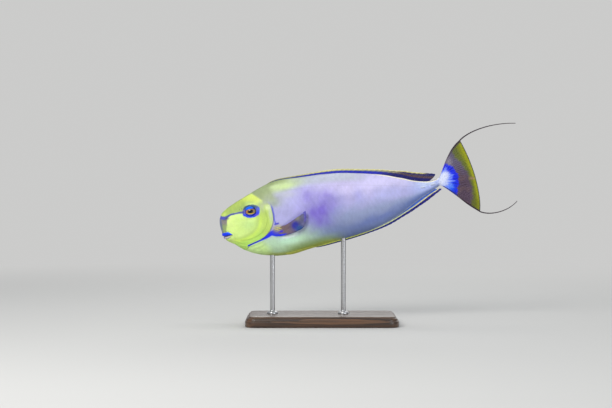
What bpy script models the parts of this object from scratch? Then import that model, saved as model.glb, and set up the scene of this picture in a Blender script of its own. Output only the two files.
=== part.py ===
"""Bignose unicornfish on a display stand: a still, life-size museum model.

Units are metres, +Z is up.  The fish swims towards -X with its left side
towards -Y, pitched head down.  The origin is the centre of the underside of
the stand's base.

The fish is designed in its own frame, in millimetres:
    s  along the body axis, from the snout towards the tail
    h  up from the body axis
    y  across the body (negative is the fish's left side)
The functions below give the outline and the cross-section at any s; every
piece of the animal is a loft, a patch or a cut made from those functions.
"""

import math

import bmesh
import bpy
from mathutils import Matrix, Vector

# --------------------------------------------------------------------------
# Driving dimensions
# --------------------------------------------------------------------------
MM = 0.001
PITCH = math.radians(9.0)        # the body axis falls towards the head
AXIS_X = -0.175                  # where the axis origin stands, world
AXIS_Z = 0.176
GAP = 0.30                       # clearance between neighbouring pieces, mm

# Body stations: name, s, top, bottom, half width, height of widest line,
# section power (1 = ellipse, more = narrower back and belly).  Millimetres.
STATIONS = (
    ("nose front",       -0.9,  -5.0,  -5.0,  0.0,  -5.0, 1.00),
    ("nostril plane",     0.2,   4.6, -16.5,  4.6,  -5.5, 1.00),
    ("muzzle",            2.4,  10.2, -27.0,  8.0,  -6.5, 1.00),
    ("lip plane",         5.8,  14.8, -32.6, 10.6,  -8.0, 1.00),
    ("mouth corner",     17.0,  22.2, -40.4, 14.6,  -9.5, 1.02),
    ("cheek",            36.0,  31.2, -55.2, 19.2, -10.0, 1.05),
    ("eye",              56.0,  39.5, -65.0, 22.6,  -8.0, 1.08),
    ("preopercle",       76.0,  47.4, -70.4, 24.9,  -6.0, 1.12),
    ("gill opening",     92.0,  52.6, -73.4, 26.0,  -4.0, 1.15),
    ("breast",          112.0,  55.9, -74.0, 26.7,  -2.0, 1.18),
    ("deepest flank",   148.0,  55.1, -69.0, 26.6,   0.0, 1.20),
    ("mid body",        184.0,  54.2, -64.4, 25.4,   1.0, 1.22),
    ("behind vent",     218.0,  51.2, -60.7, 22.9,   2.0, 1.22),
    ("rear flank",      252.0,  45.4, -54.9, 19.2,   2.0, 1.20),
    ("taper",           288.0,  37.4, -44.6, 14.6,   2.0, 1.15),
    ("stalk start",     320.0,  26.4, -29.6,  9.8,   2.0, 1.08),
    ("stalk",           346.0,  17.2, -15.6,  6.9,   3.0, 1.02),
    ("narrow stalk",    368.0,  13.7,  -5.0,  5.2,   5.0, 1.00),
    ("tail base",       384.0,  16.4,   3.2,  3.4,   9.8, 1.00),
)
NOSE_S = STATIONS[0][1]
TAIL_S = STATIONS[-1][1]

# Eye
EYE_S, EYE_H = 55.6, 9.9
EYE_RADIUS = 10.6                # seen from the side
EYE_HALF_DEPTH = 7.4             # across the body
EYE_PROUD = 2.4                  # how far it stands out of the cheek

# Gill opening, as a smooth curve through named points (s, h)
GILL_NAPE = (77.0, 60.0)
GILL_TOP = (85.0, 14.0)
GILL_REAR = (91.6, -11.0)
GILL_LOWER = (79.5, -31.5)
GILL_THROAT = (41.0, -50.0)
GILL_CHIN = (30.0, -80.0)
COVER_FRONT_REACH = 17.0         # width of the gill cover plate

# Cut between the trunk and the tail stalk
STALK_CUT_S = 328.0

# Mouth
SLIT_FRONT = (-6.0, -26.6)
SLIT_CORNER = (19.0, -24.9)
JAW_BACK = (20.5, -34.0)
LIP_CORNER_S = 18.2
LIP_HEIGHT_FRONT, LIP_HEIGHT_CORNER = -21.9, -24.0
LIP_HALF_TALL = (3.5, 1.1)       # at the front, at the corner
LIP_HALF_THICK = (2.1, 0.9)

# Dorsal fin: height above the back at s, then the free rear tip
DORSAL_START, DORSAL_END = 84.0, 365.0
DORSAL_HEIGHT = ((84.0, 1.0), (110.0, 1.8), (148.0, 3.4), (184.0, 5.2),
                 (216.0, 6.8), (252.0, 7.0), (276.0, 7.8), (305.0, 9.8),
                 (336.0, 14.4), (365.0, 15.0))
DORSAL_TIP = (378.4, 24.0)

# Anal fin: depth below the belly at s, then the free rear tip
ANAL_START, ANAL_END = 150.0, 362.0
ANAL_HEIGHT = ((150.0, 1.2), (180.0, 3.2), (216.0, 3.2), (252.0, 3.8),
               (279.0, 5.2), (307.0, 6.2), (335.0, 8.2), (362.0, 9.6))
ANAL_TIP = (381.5, -9.0)

# Caudal fin, cubic edges in (s, h)
CAUDAL_BASE_TOP, CAUDAL_BASE_LOW = (384.3, 16.2), (384.3, 3.4)
CAUDAL_UPPER = (CAUDAL_BASE_TOP, (394.5, 32.0), (403.0, 58.0), (429.5, 74.0))
CAUDAL_LOWER = (CAUDAL_BASE_LOW, (398.0, -6.0), (415.0, -28.0), (444.6, -52.0))
CAUDAL_REAR = ((444.6, -52.0), (452.0, -28.0), (447.0, 30.0), (429.5, 74.0))
CAUDAL_HALF_THICK = (2.7, 0.4)   # at the base, at the margin

# Trailing filaments from the corners of the caudal fin
STREAMER_UPPER = ((430.4, 75.2), (452.0, 90.0), (492.0, 95.0), (528.0, 88.2))
STREAMER_LOWER = ((445.5, -52.8), (462.0, -62.0), (492.0, -60.0),
                  (510.4, -44.2))
STREAMER_RADIUS = (0.95, 0.45)

# Pectoral fin, cubic edges in (s, h); it lies back along the flank
PEC_BASE = ((91.2, -38.2), (95.0, -23.2))
PEC_UPPER = ((95.0, -23.2), (110.0, -22.0), (128.0, -9.0), (148.5, -3.4))
PEC_LOWER = ((91.2, -38.2), (105.0, -42.0), (128.0, -41.5), (143.0, -34.5))
PEC_REAR = ((143.0, -34.5), (151.5, -27.0), (154.0, -12.0), (148.5, -3.4))
PEC_LIFT = 6.5                   # how far the tip stands off the flank
PEC_HALF_THICK = (1.5, 0.35)

# Pelvic fin, folded along the belly
PELVIC_START, PELVIC_END = 99.0, 161.0
PELVIC_ARC = (8.0, 21.0)         # degrees off the keel line
PELVIC_THICK = (2.0, 0.8)

# Keeled plates on the tail stalk: centre (s, h), half length, half height
PLATES = (("front", 353.5, 4.6, 6.4, 3.6), ("rear", 371.5, 6.8, 6.0, 3.4))
PLATE_RIM, PLATE_KEEL = 0.6, 2.6

# Stand
BASE_LENGTH, BASE_WIDTH, BASE_THICK = 0.260, 0.140, 0.018
BASE_EDGE, BASE_CORNER = 0.003, 0.018
ROD_RADIUS, FOOT_RADIUS, FOOT_THICK = 0.0042, 0.0095, 0.004
ROD_FRONT_S, ROD_REAR_S = 80.0, 205.0

# Mesh fineness
BODY_RINGS, BODY_SIDES = 33, 24   # rings crowd towards the snout
STALK_RINGS_FROM, STALK_RINGS = 335.0, 8

COLLECTION = "bignose_unicornfish"


# --------------------------------------------------------------------------
# Small numeric helpers
# --------------------------------------------------------------------------
def clamp(v, lo=0.0, hi=1.0):
    return max(lo, min(hi, v))


def smooth(v):
    v = clamp(v)
    return v * v * (3.0 - 2.0 * v)


def hermite(xs, ys, x):
    """Monotone-limited cubic through (xs, ys)."""
    n = len(xs)
    if x <= xs[0]:
        return ys[0]
    if x >= xs[-1]:
        return ys[-1]
    step = [(ys[i + 1] - ys[i]) / (xs[i + 1] - xs[i]) for i in range(n - 1)]
    slope = [step[0]] + [0.0] * (n - 2) + [step[-1]]
    for i in range(1, n - 1):
        if step[i - 1] * step[i] > 0.0:
            w1 = 2 * (xs[i + 1] - xs[i]) + (xs[i] - xs[i - 1])
            w2 = (xs[i + 1] - xs[i]) + 2 * (xs[i] - xs[i - 1])
            slope[i] = (w1 + w2) / (w1 / step[i - 1] + w2 / step[i])
    i = 0
    while x > xs[i + 1]:
        i += 1
    d = xs[i + 1] - xs[i]
    t = (x - xs[i]) / d
    return (ys[i] * (1 + 2 * t) * (1 - t) ** 2 + slope[i] * d * t * (1 - t) ** 2
            + ys[i + 1] * t * t * (3 - 2 * t) + slope[i + 1] * d * t * t * (t - 1))


def bezier(p, t):
    u = 1.0 - t
    k = (u * u * u, 3 * u * u * t, 3 * u * t * t, t * t * t)
    return tuple(sum(k[i] * p[i][j] for i in range(4)) for j in range(2))


def mix(a, b, t):
    return tuple(a[i] + (b[i] - a[i]) * t for i in range(len(a)))


def through(points, t):
    """Catmull-Rom curve through 2D points, t from 0 to 1."""
    n = len(points) - 1
    f = clamp(t) * n
    i = min(int(f), n - 1)
    t = f - i
    p1, p2 = points[i], points[i + 1]
    p0 = points[i - 1] if i > 0 else tuple(2 * a - b for a, b in zip(p1, p2))
    p3 = points[i + 2] if i + 2 <= n else tuple(2 * b - a for a, b in zip(p1, p2))
    return tuple(
        0.5 * (2 * b + (c - a) * t + (2 * a - 5 * b + 4 * c - d) * t * t
               + (3 * b - a - 3 * c + d) * t ** 3)
        for a, b, c, d in zip(p0, p1, p2, p3))


# --------------------------------------------------------------------------
# Body functions
# --------------------------------------------------------------------------
# The stations are read against the root of the distance from the nose, so
# that the blunt snout comes out round.
ROOTS = [math.sqrt(row[1] - NOSE_S) for row in STATIONS]


def station(s):
    """top, bottom, half width, widest height and section power at s."""
    q = math.sqrt(max(s - NOSE_S, 0.0))
    return tuple(hermite(ROOTS, [row[k] for row in STATIONS], q)
                 for k in range(2, 7))


def section_point(s, angle, grow=0.0):
    """A point (h, y) of the section at s; angle 90 degrees is the back."""
    top, low, half, wide, power = station(s)
    c, n = math.cos(angle), math.sin(angle)
    reach = (top - wide) if n > 0 else (wide - low)
    h = wide + (reach + grow) * n
    y = math.copysign(abs(c) ** power * (half + grow), c)
    return h, y


def flank(s, h):
    """Half thickness of the body at (s, h)."""
    top, low, half, wide, power = station(s)
    reach = (top - wide) if h > wide else (wide - low)
    if reach <= 1e-6:
        return 0.0
    n = clamp(abs(h - wide) / reach)
    return half * math.sqrt(1.0 - n * n) ** power


def back(s):
    return station(s)[0]


def belly(s):
    return station(s)[1]


# --------------------------------------------------------------------------
# Building helpers
# --------------------------------------------------------------------------
def clear_scene():
    for obj in list(bpy.data.objects):
        bpy.data.objects.remove(obj, do_unlink=True)


def collection(name):
    col = bpy.data.collections.new(name)
    bpy.context.scene.collection.children.link(col)
    return col


def material(name, colour, rough, metal=0.0):
    mat = bpy.data.materials.new(name)
    mat.use_nodes = True
    node = mat.node_tree.nodes["Principled BSDF"]
    node.inputs["Base Color"].default_value = (*colour, 1.0)
    node.inputs["Roughness"].default_value = rough
    node.inputs["Metallic"].default_value = metal
    mat.diffuse_color = (*colour, 1.0)
    return mat


def add_object(name, bm, col, parent=None, mat=None, round_shade=True):
    """Make an object of a bmesh drawn in fish millimetres."""
    bmesh.ops.recalc_face_normals(bm, faces=bm.faces)
    mesh = bpy.data.meshes.new(name)
    bm.to_mesh(mesh)
    bm.free()
    obj = bpy.data.objects.new(name, mesh)
    col.objects.link(obj)
    if parent is not None:
        obj.parent = parent
    if mat is not None:
        mesh.materials.append(mat)
    if round_shade:
        mesh.shade_smooth()
        mesh.set_sharp_from_angle(angle=math.radians(40.0))
    return obj


def place(s, h, y):
    """Fish millimetres to the body frame's metres."""
    return Vector((s * MM, y * MM, h * MM))


def loft(rings, closed_ends=True):
    """Join rings of equal length into one closed tube."""
    bm = bmesh.new()
    rows = [[bm.verts.new(p) for p in ring] for ring in rings]
    n = len(rows[0])
    for a, b in zip(rows, rows[1:]):
        for i in range(n):
            j = (i + 1) % n
            bm.faces.new((a[i], a[j], b[j], b[i]))
    if closed_ends:
        for row in (rows[0], rows[-1]):
            mid = bm.verts.new(sum((v.co for v in row), Vector()) / n)
            for i in range(n):
                bm.faces.new((mid, row[i], row[(i + 1) % n]))
    return bm


def ring_stations():
    """Where the rings of the body loft stand along it."""
    q1 = math.sqrt(STALK_RINGS_FROM - NOSE_S)
    front = [NOSE_S + (q1 * (0.018 + 0.982 * i / (BODY_RINGS - 1))) ** 2
             for i in range(BODY_RINGS)]
    rear = [STALK_RINGS_FROM + (TAIL_S - STALK_RINGS_FROM) * i / STALK_RINGS
            for i in range(1, STALK_RINGS + 1)]
    return front + rear


def body_bmesh(grow=0.0, sides=BODY_SIDES):
    """The whole animal without fins, as one loft of its sections."""
    out = []
    for s in ring_stations():
        ring = []
        for k in range(sides):
            h, y = section_point(s, 2 * math.pi * k / sides, grow)
            ring.append(place(s, h, y))
        out.append(ring)
    return loft(out)


def patch(nu, nv, outer, inner):
    """A closed plate: grid faces on outer(u, v) and inner(u, v) and a rim.

    It starts as a flat grid that is extruded once, and its points are then
    moved onto the two surfaces.
    """
    bm = bmesh.new()
    bmesh.ops.create_grid(bm, x_segments=nu, y_segments=nv, size=0.5)
    raised = bmesh.ops.extrude_face_region(bm, geom=bm.faces[:],
                                           use_keep_orig=True)
    for item in raised["geom"]:
        if isinstance(item, bmesh.types.BMVert):
            item.co.z = 1.0
    for vert in bm.verts:
        u, v = vert.co.x + 0.5, vert.co.y + 0.5
        vert.co = (outer if vert.co.z > 0.5 else inner)(u, v)
    return bm


def sweep(path, sides, size_a, size_b, up):
    """Tube along path(t); size_a lies along up(t), size_b across it."""
    rings = []
    count = len(path)
    for i, point in enumerate(path):
        here = Vector(point)
        ahead = Vector(path[min(i + 1, count - 1)])
        behind = Vector(path[max(i - 1, 0)])
        along = (ahead - behind).normalized()
        u = Vector(up(i / (count - 1)))
        u = (u - along * u.dot(along)).normalized()
        w = along.cross(u)
        a, b = size_a(i / (count - 1)), size_b(i / (count - 1))
        rings.append([here + u * a * math.cos(2 * math.pi * k / sides)
                      + w * b * math.sin(2 * math.pi * k / sides)
                      for k in range(sides)])
    return loft(rings)


def prism(outline, half_width):
    """A closed outline in (s, h) extruded across the body, as a cutter."""
    bm = bmesh.new()
    face = bm.faces.new([bm.verts.new(place(s, h, -half_width))
                         for s, h in outline])
    raised = bmesh.ops.extrude_face_region(bm, geom=[face],
                                           use_keep_orig=True)
    for item in raised["geom"]:
        if isinstance(item, bmesh.types.BMVert):
            item.co.y = half_width * MM
    return bm


def cut(obj, cutter, operation="DIFFERENCE"):
    mod = obj.modifiers.new("cut_" + cutter.name, "BOOLEAN")
    mod.object = cutter
    mod.operation = operation
    mod.solver = "EXACT"


# --------------------------------------------------------------------------
# Shapes of the animal
# --------------------------------------------------------------------------
GILL_POINTS = (GILL_NAPE, GILL_TOP, GILL_REAR, GILL_LOWER, GILL_THROAT, GILL_CHIN)


def even_curve(points, count):
    """Samples of the curve through the points, evenly spaced along it."""
    fine = [through(points, i / 400.0) for i in range(401)]
    run = [0.0]
    for a, b in zip(fine, fine[1:]):
        run.append(run[-1] + math.hypot(b[0] - a[0], b[1] - a[1]))
    out, k = [], 0
    for i in range(count + 1):
        want = run[-1] * i / count
        while k < 399 and run[k + 1] < want:
            k += 1
        left = (want - run[k]) / (run[k + 1] - run[k])
        out.append(mix(fine[k], fine[k + 1], clamp(left)))
    return out


GILL_EVEN = even_curve(GILL_POINTS, 80)


def gill_curve(t, shift=0.0):
    """The gill opening from nape (t = 0) to chin (t = 1)."""
    def at(x):
        f = clamp(x) * 80
        i = min(int(f), 79)
        return mix(GILL_EVEN[i], GILL_EVEN[i + 1], f - i)
    s, h = at(t)
    if shift:
        a, b = at(t - 0.03), at(t + 0.03)
        ds, dh = b[0] - a[0], b[1] - a[1]
        size = math.hypot(ds, dh)
        s, h = s - dh / size * shift, h + ds / size * shift
    return s, h


def head_outline(shift):
    """Everything in front of the gill opening, moved back by shift."""
    edge = [gill_curve(i / 30.0, shift) for i in range(31)]
    return edge + [(-40.0, -110.0), (-40.0, 90.0)]


COVER_TOP_T, COVER_LOW_T = 0.28, 0.80


def cover_point(u, v, grow=0.0):
    """(s, h) on the gill cover: u from its front fold to its rear edge."""
    span = COVER_LOW_T - COVER_TOP_T
    t = COVER_TOP_T + span * v
    rear = gill_curve(t, grow)
    width = COVER_FRONT_REACH * math.sin(math.pi * (0.10 + 0.80 * v)) ** 0.6
    front = gill_curve(t, -width - 2.2 * grow)
    s, h = mix(front, rear, u)
    return s, h + (grow * (1.0 - 2.0 * v)) * 1.5


def cover_patch(side, grow=0.0):
    def outer(u, v):
        s, h = cover_point(u, v, grow)
        return place(s, h, side * (flank(s, h) + (4.0 if grow else 0.0)))

    def inner(u, v):
        s, h = cover_point(u, v, grow)
        return place(s, h, side * (flank(s, h) * 0.80 - 2.5 * grow))
    return patch(3, 15, outer, inner)


def jaw_outline(grow):
    """Below the mouth slit and in front of the jaw's rear corner."""
    g = grow
    return [(SLIT_FRONT[0], SLIT_FRONT[1] + g), (SLIT_CORNER[0] + g, SLIT_CORNER[1] + g),
            (JAW_BACK[0] + g, JAW_BACK[1]), (16.5 + g, -60.0), (SLIT_FRONT[0], -60.0)]


def lip_path(inset):
    """Around the front of the muzzle, from one mouth corner to the other."""
    points = []
    for i in range(17):
        t = -1.0 + i / 8.0
        h = LIP_HEIGHT_FRONT + (LIP_HEIGHT_CORNER - LIP_HEIGHT_FRONT) * abs(t) ** 1.6
        s_front = NOSE_S
        while flank(s_front, h) < 0.4 and s_front < 10.0:
            s_front += 0.05
        s = s_front + (LIP_CORNER_S - s_front) * t * t
        y = math.copysign(max(flank(s, h) - inset * abs(t), 0.0), t) if t else 0.0
        points.append(place(s + inset * (1.0 - abs(t)), h, y))
    return points


def lip_bmesh(grow=0.0):
    def tall(t):
        k = abs(2 * t - 1) ** 1.4
        return (LIP_HALF_TALL[0] * (1 - k) + LIP_HALF_TALL[1] * k + grow) * MM

    def thick(t):
        k = abs(2 * t - 1) ** 1.4
        return (LIP_HALF_THICK[0] * (1 - k) + LIP_HALF_THICK[1] * k + grow) * MM
    return sweep(lip_path(0.7), 8, tall, thick, lambda t: (0.0, 0.0, 1.0))


def eye_bmesh(side, grow=0.0):
    bm = bmesh.new()
    bmesh.ops.create_uvsphere(bm, u_segments=16, v_segments=8, radius=1.0,
                              matrix=Matrix.Rotation(math.pi / 2, 4, "X"))
    depth = flank(EYE_S, EYE_H) + EYE_PROUD - EYE_HALF_DEPTH
    for vert in bm.verts:
        c = vert.co
        vert.co = place(EYE_S + c.x * (EYE_RADIUS + grow),
                        EYE_H + c.z * (EYE_RADIUS * 0.94 + grow),
                        side * depth + c.y * (EYE_HALF_DEPTH + grow))
    return bm


def dorsal_height(s):
    return hermite([p[0] for p in DORSAL_HEIGHT], [p[1] for p in DORSAL_HEIGHT], s)


def anal_height(s):
    return hermite([p[0] for p in ANAL_HEIGHT], [p[1] for p in ANAL_HEIGHT], s)


def ridge_fin(nu, nv, start, end, edge, height, tip, sign, half_thick):
    """A low folded fin along the back (sign +1) or the belly (sign -1)."""
    def point(u, v, side):
        s = start + (end - start) * u
        low = (s, edge(s) + sign * GAP)
        lean = 0.55 * height(s)
        high_s = s + lean * smooth(u * 8.0) * smooth((1 - u) * 12.0)
        high = (high_s, edge(high_s) + sign * height(high_s))
        if u > 0.86:
            k = smooth((u - 0.86) / 0.14)
            high = mix(high, tip, k)
        p = mix(low, high, v)
        half = half_thick[0] + (half_thick[1] - half_thick[0]) * v
        return place(p[0], p[1], side * half)
    return patch(nu, nv, lambda u, v: point(u, v, 1.0),
                 lambda u, v: point(u, v, -1.0))


def coons(base, rear, lower, upper, u, v):
    """Patch between four edges: u from base to rear, v from low to high."""
    lo, up = bezier(lower, u), bezier(upper, u)
    ba, re = mix(base[0], base[1], v), bezier(rear, v)
    c00, c01 = lower[0], upper[0]
    c10, c11 = lower[3], upper[3]
    return tuple(
        (1 - v) * lo[k] + v * up[k] + (1 - u) * ba[k] + u * re[k]
        - ((1 - u) * (1 - v) * c00[k] + (1 - u) * v * c01[k]
           + u * (1 - v) * c10[k] + u * v * c11[k]) for k in range(2))


def caudal_bmesh():
    def point(u, v, side):
        s, h = coons((CAUDAL_BASE_LOW, CAUDAL_BASE_TOP), CAUDAL_REAR,
                     CAUDAL_LOWER, CAUDAL_UPPER, u, v)
        half = (CAUDAL_HALF_THICK[1] + (CAUDAL_HALF_THICK[0] - CAUDAL_HALF_THICK[1])
                * (1.0 - smooth(u / 0.45)) * (0.35 + 0.65 * math.sin(math.pi * v)))
        return place(s, h, side * half)
    return patch(10, 14, lambda u, v: point(u, v, 1.0),
                 lambda u, v: point(u, v, -1.0))


def streamer_bmesh(points):
    path = [place(*bezier(points, i / 18.0), 0.0) for i in range(19)]
    def size(t):
        return (STREAMER_RADIUS[0] + (STREAMER_RADIUS[1] - STREAMER_RADIUS[0]) * t) * MM
    return sweep(path, 6, size, size, lambda t: (0.0, 1.0, 0.0))


def pectoral_bmesh(side):
    def point(u, v, level):
        s, h = coons(PEC_BASE, PEC_REAR, PEC_LOWER, PEC_UPPER, u, v)
        half = PEC_HALF_THICK[1] + (PEC_HALF_THICK[0] - PEC_HALF_THICK[1]) * (1 - smooth(u / 0.5))
        near = flank(s, h) + GAP + 0.15
        mid = near + half + PEC_LIFT * smooth(u) * (0.55 + 0.45 * v)
        return place(s, h, side * (mid + level * half))
    return patch(9, 6, lambda u, v: point(u, v, 1.0),
                 lambda u, v: point(u, v, -1.0))


def pelvic_bmesh(side):
    def point(u, v, level):
        s = PELVIC_START + (PELVIC_END - PELVIC_START) * u
        spread = 0.35 + 0.65 * math.sin(math.pi * (0.12 + 0.78 * u) ) ** 0.8
        arc = PELVIC_ARC[0] + (PELVIC_ARC[1] - PELVIC_ARC[0]) * v * spread
        thick = PELVIC_THICK[0] + (PELVIC_THICK[1] - PELVIC_THICK[0]) * u
        lift = GAP + 0.15 + level * thick + 0.8 * u * u
        h, y = section_point(s, math.radians(-90.0 + arc), 0.0)
        h2, y2 = section_point(s, math.radians(-90.0 + arc), 1.0)
        out = Vector((h2 - h, y2 - y)).normalized() * lift
        return place(s, h + out.x, side * (y + out.y))
    return patch(10, 3, lambda u, v: point(u, v, 1.0),
                 lambda u, v: point(u, v, 0.0))


def plate_bmesh(row, side):
    """An oval bony plate with a sharp keel along its middle."""
    _, s0, h0, half_s, half_h = row

    def spot(u, v):
        a, b = 2 * u - 1, 2 * v - 1
        s = s0 + half_s * a * math.sqrt(1 - 0.5 * b * b)
        h = h0 + half_h * b * math.sqrt(1 - 0.5 * a * a)
        return s, h, a, b

    def outer(u, v):
        s, h, a, b = spot(u, v)
        ridge = (1 - abs(b)) ** 1.5 * smooth(1.0 - abs(a)) ** 0.7
        return place(s, h, side * (flank(s, h) + GAP + 0.1 + PLATE_RIM
                                   + (PLATE_KEEL - PLATE_RIM) * ridge))

    def inner(u, v):
        s, h, _, _ = spot(u, v)
        return place(s, h, side * (flank(s, h) + GAP + 0.1))
    return patch(6, 4, outer, inner)


# --------------------------------------------------------------------------
# Stand
# --------------------------------------------------------------------------
def to_world_x(s, h):
    return AXIS_X + (s * math.cos(PITCH) - h * math.sin(PITCH)) * MM


def to_world_z(s, h):
    return AXIS_Z + (s * math.sin(PITCH) + h * math.cos(PITCH)) * MM


def rod(name, s, col, mat):
    """A turned rod with a foot; its top end is cut to the belly later."""
    top = to_world_z(s, belly(s)) + 0.012
    foot_z = BASE_THICK + 0.0003
    profile = [(0.0, top), (ROD_RADIUS, top),
               (ROD_RADIUS, foot_z + FOOT_THICK + 0.0012),
               (ROD_RADIUS + 0.0012, foot_z + FOOT_THICK),
               (FOOT_RADIUS - 0.0008, foot_z + FOOT_THICK),
               (FOOT_RADIUS, foot_z + FOOT_THICK - 0.0008),
               (FOOT_RADIUS, foot_z), (0.0, foot_z)]
    mesh = bpy.data.meshes.new(name)
    mesh.from_pydata([(x, 0.0, z) for x, z in profile],
                     [(i, i + 1) for i in range(len(profile) - 1)], [])
    obj = bpy.data.objects.new(name, mesh)
    col.objects.link(obj)
    obj.location.x = to_world_x(s, belly(s))
    mesh.materials.append(mat)
    turn = obj.modifiers.new("turn", "SCREW")
    turn.steps = turn.render_steps = 16
    turn.use_merge_vertices = True
    turn.merge_threshold = 0.00001
    turn.use_smooth_shade = True
    return obj


def main():
    clear_scene()
    parts = collection(COLLECTION)
    tools = collection("cutters")

    frame = bpy.data.objects.new("body_frame", None)
    parts.objects.link(frame)
    frame.location = (AXIS_X, 0.0, AXIS_Z)
    frame.rotation_euler = (0.0, -PITCH, 0.0)

    skin_head = material("head_yellow", (0.62, 0.78, 0.14), 0.38)
    skin_cover = material("gill_cover_yellow", (0.55, 0.72, 0.16), 0.38)
    skin_jaw = material("jaw_yellow_green", (0.48, 0.66, 0.18), 0.40)
    lip_blue = material("lip_blue", (0.02, 0.07, 0.75), 0.32)
    skin_trunk = material("trunk_lavender", (0.56, 0.54, 0.78), 0.36)
    skin_stalk = material("stalk_pale", (0.66, 0.68, 0.80), 0.36)
    eye_gold = material("eye_gold", (0.42, 0.30, 0.06), 0.10)
    plate_pale = material("plate_blue_white", (0.30, 0.36, 0.78), 0.34)
    fin_dorsal = material("dorsal_olive", (0.34, 0.34, 0.20), 0.45)
    fin_anal = material("anal_dark_blue", (0.05, 0.07, 0.26), 0.45)
    fin_caudal = material("caudal_yellow", (0.52, 0.50, 0.10), 0.45)
    fin_dark = material("streamer_dark", (0.04, 0.03, 0.05), 0.45)
    fin_pec = material("pectoral_dusky", (0.16, 0.16, 0.22), 0.45)
    fin_pelvic = material("pelvic_yellow", (0.55, 0.55, 0.10), 0.45)
    wood = material("base_dark_wood", (0.10, 0.055, 0.03), 0.40)
    steel = material("rod_brushed_steel", (0.60, 0.60, 0.60), 0.30, 1.0)

    def cutter(name, bm, in_fish=True):
        obj = add_object(name, bm, tools, frame if in_fish else None,
                         round_shade=False)
        obj.hide_render = True
        obj.display_type = "WIRE"
        return obj

    def piece(name, bm, mat):
        return add_object(name, bm, parts, frame, mat)

    # Cutters
    head_zone = cutter("zone_head", prism(head_outline(0.0), 90.0))
    head_zone_wide = cutter("zone_head_wide", prism(head_outline(GAP), 90.0))
    jaw_zone = cutter("zone_jaw", prism(jaw_outline(0.0), 60.0))
    jaw_zone_wide = cutter("zone_jaw_wide", prism(jaw_outline(GAP), 60.0))
    lip_zone = cutter("zone_lip", lip_bmesh(GAP))
    stalk_zone = cutter("zone_stalk", prism(
        [(STALK_CUT_S + GAP, -110.0), (480.0, -110.0), (480.0, 110.0),
         (STALK_CUT_S + GAP, 110.0)], 90.0))
    trunk_zone = cutter("zone_trunk", prism(
        [(-60.0, -110.0), (STALK_CUT_S, -110.0), (STALK_CUT_S, 110.0),
         (-60.0, 110.0)], 90.0))
    covers = [cutter("zone_cover_" + n, cover_patch(k, 1.5 * GAP))
              for n, k in (("left", -1.0), ("right", 1.0))]
    sockets = [cutter("zone_eye_" + n, eye_bmesh(k, GAP))
               for n, k in (("left", -1.0), ("right", 1.0))]

    # Body, modelled whole and parted with thin cuts
    head = piece("head", body_bmesh(), skin_head)
    cut(head, head_zone, "INTERSECT")
    cut(head, jaw_zone_wide)
    cut(head, lip_zone)
    for tool in covers + sockets:
        cut(head, tool)

    jaw = piece("jaw", body_bmesh(), skin_jaw)
    cut(jaw, jaw_zone, "INTERSECT")
    cut(jaw, lip_zone)

    trunk = piece("trunk", body_bmesh(), skin_trunk)
    cut(trunk, trunk_zone, "INTERSECT")
    cut(trunk, head_zone_wide)

    stalk = piece("tail_stalk", body_bmesh(), skin_stalk)
    cut(stalk, stalk_zone, "INTERSECT")

    # Details of the head
    piece("upper_lip", lip_bmesh(), lip_blue)
    for n, k in (("left", -1.0), ("right", 1.0)):
        piece("gill_cover_" + n, cover_patch(k), skin_cover)
        piece("eye_" + n, eye_bmesh(k), eye_gold)

    # Fins
    piece("dorsal_fin", ridge_fin(38, 2, DORSAL_START, DORSAL_END, back,
                                  dorsal_height, DORSAL_TIP, 1.0, (0.9, 0.35)),
          fin_dorsal)
    piece("anal_fin", ridge_fin(28, 2, ANAL_START, ANAL_END, belly,
                                anal_height, ANAL_TIP, -1.0, (0.9, 0.35)),
          fin_anal)
    piece("caudal_fin", caudal_bmesh(), fin_caudal)
    piece("caudal_streamer_upper", streamer_bmesh(STREAMER_UPPER), fin_dark)
    piece("caudal_streamer_lower", streamer_bmesh(STREAMER_LOWER), fin_dark)
    for n, k in (("left", -1.0), ("right", 1.0)):
        piece("pectoral_fin_" + n, pectoral_bmesh(k), fin_pec)
        piece("pelvic_fin_" + n, pelvic_bmesh(k), fin_pelvic)
        for row in PLATES:
            piece("keel_plate_%s_%s" % (n, row[0]), plate_bmesh(row, k),
                  plate_pale)

    # Stand: a flat base and two rods that end under the belly
    bm = bmesh.new()
    bmesh.ops.create_cube(bm, size=1.0)
    for vert in bm.verts:
        vert.co.x *= BASE_LENGTH
        vert.co.y *= BASE_WIDTH
        vert.co.z = (vert.co.z + 0.5) * BASE_THICK
    upright = [e for e in bm.edges
               if abs(e.verts[0].co.z - e.verts[1].co.z) > 0.5 * BASE_THICK]
    bmesh.ops.bevel(bm, geom=upright, offset=BASE_CORNER, segments=5,
                    profile=0.5, affect="EDGES")
    base = add_object("stand_base", bm, parts, None, wood)
    edge = base.modifiers.new("edge", "BEVEL")
    edge.width = BASE_EDGE
    edge.segments = 2
    edge.limit_method = "ANGLE"
    edge.angle_limit = math.radians(50.0)

    belly_zone = cutter("zone_belly", body_bmesh(GAP + 0.05))
    slot_bm = bmesh.new()
    bmesh.ops.create_cube(slot_bm, size=1.0)
    slot_mid = Vector((to_world_x(ROD_REAR_S, belly(ROD_REAR_S)), 0.0,
                       to_world_z(ROD_REAR_S, belly(ROD_REAR_S)) + 0.010))
    for vert in slot_bm.verts:
        vert.co = slot_mid + Vector((vert.co.x * 0.030,
                                     vert.co.y * 0.0026,
                                     vert.co.z * 0.031))
    slot = cutter("zone_slot", slot_bm, in_fish=False)
    front_rod = rod("stand_rod_front", ROD_FRONT_S, parts, steel)
    cut(front_rod, belly_zone)
    rear_rod = rod("stand_rod_rear", ROD_REAR_S, parts, steel)
    cut(rear_rod, belly_zone)
    cut(rear_rod, slot)


main()
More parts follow.
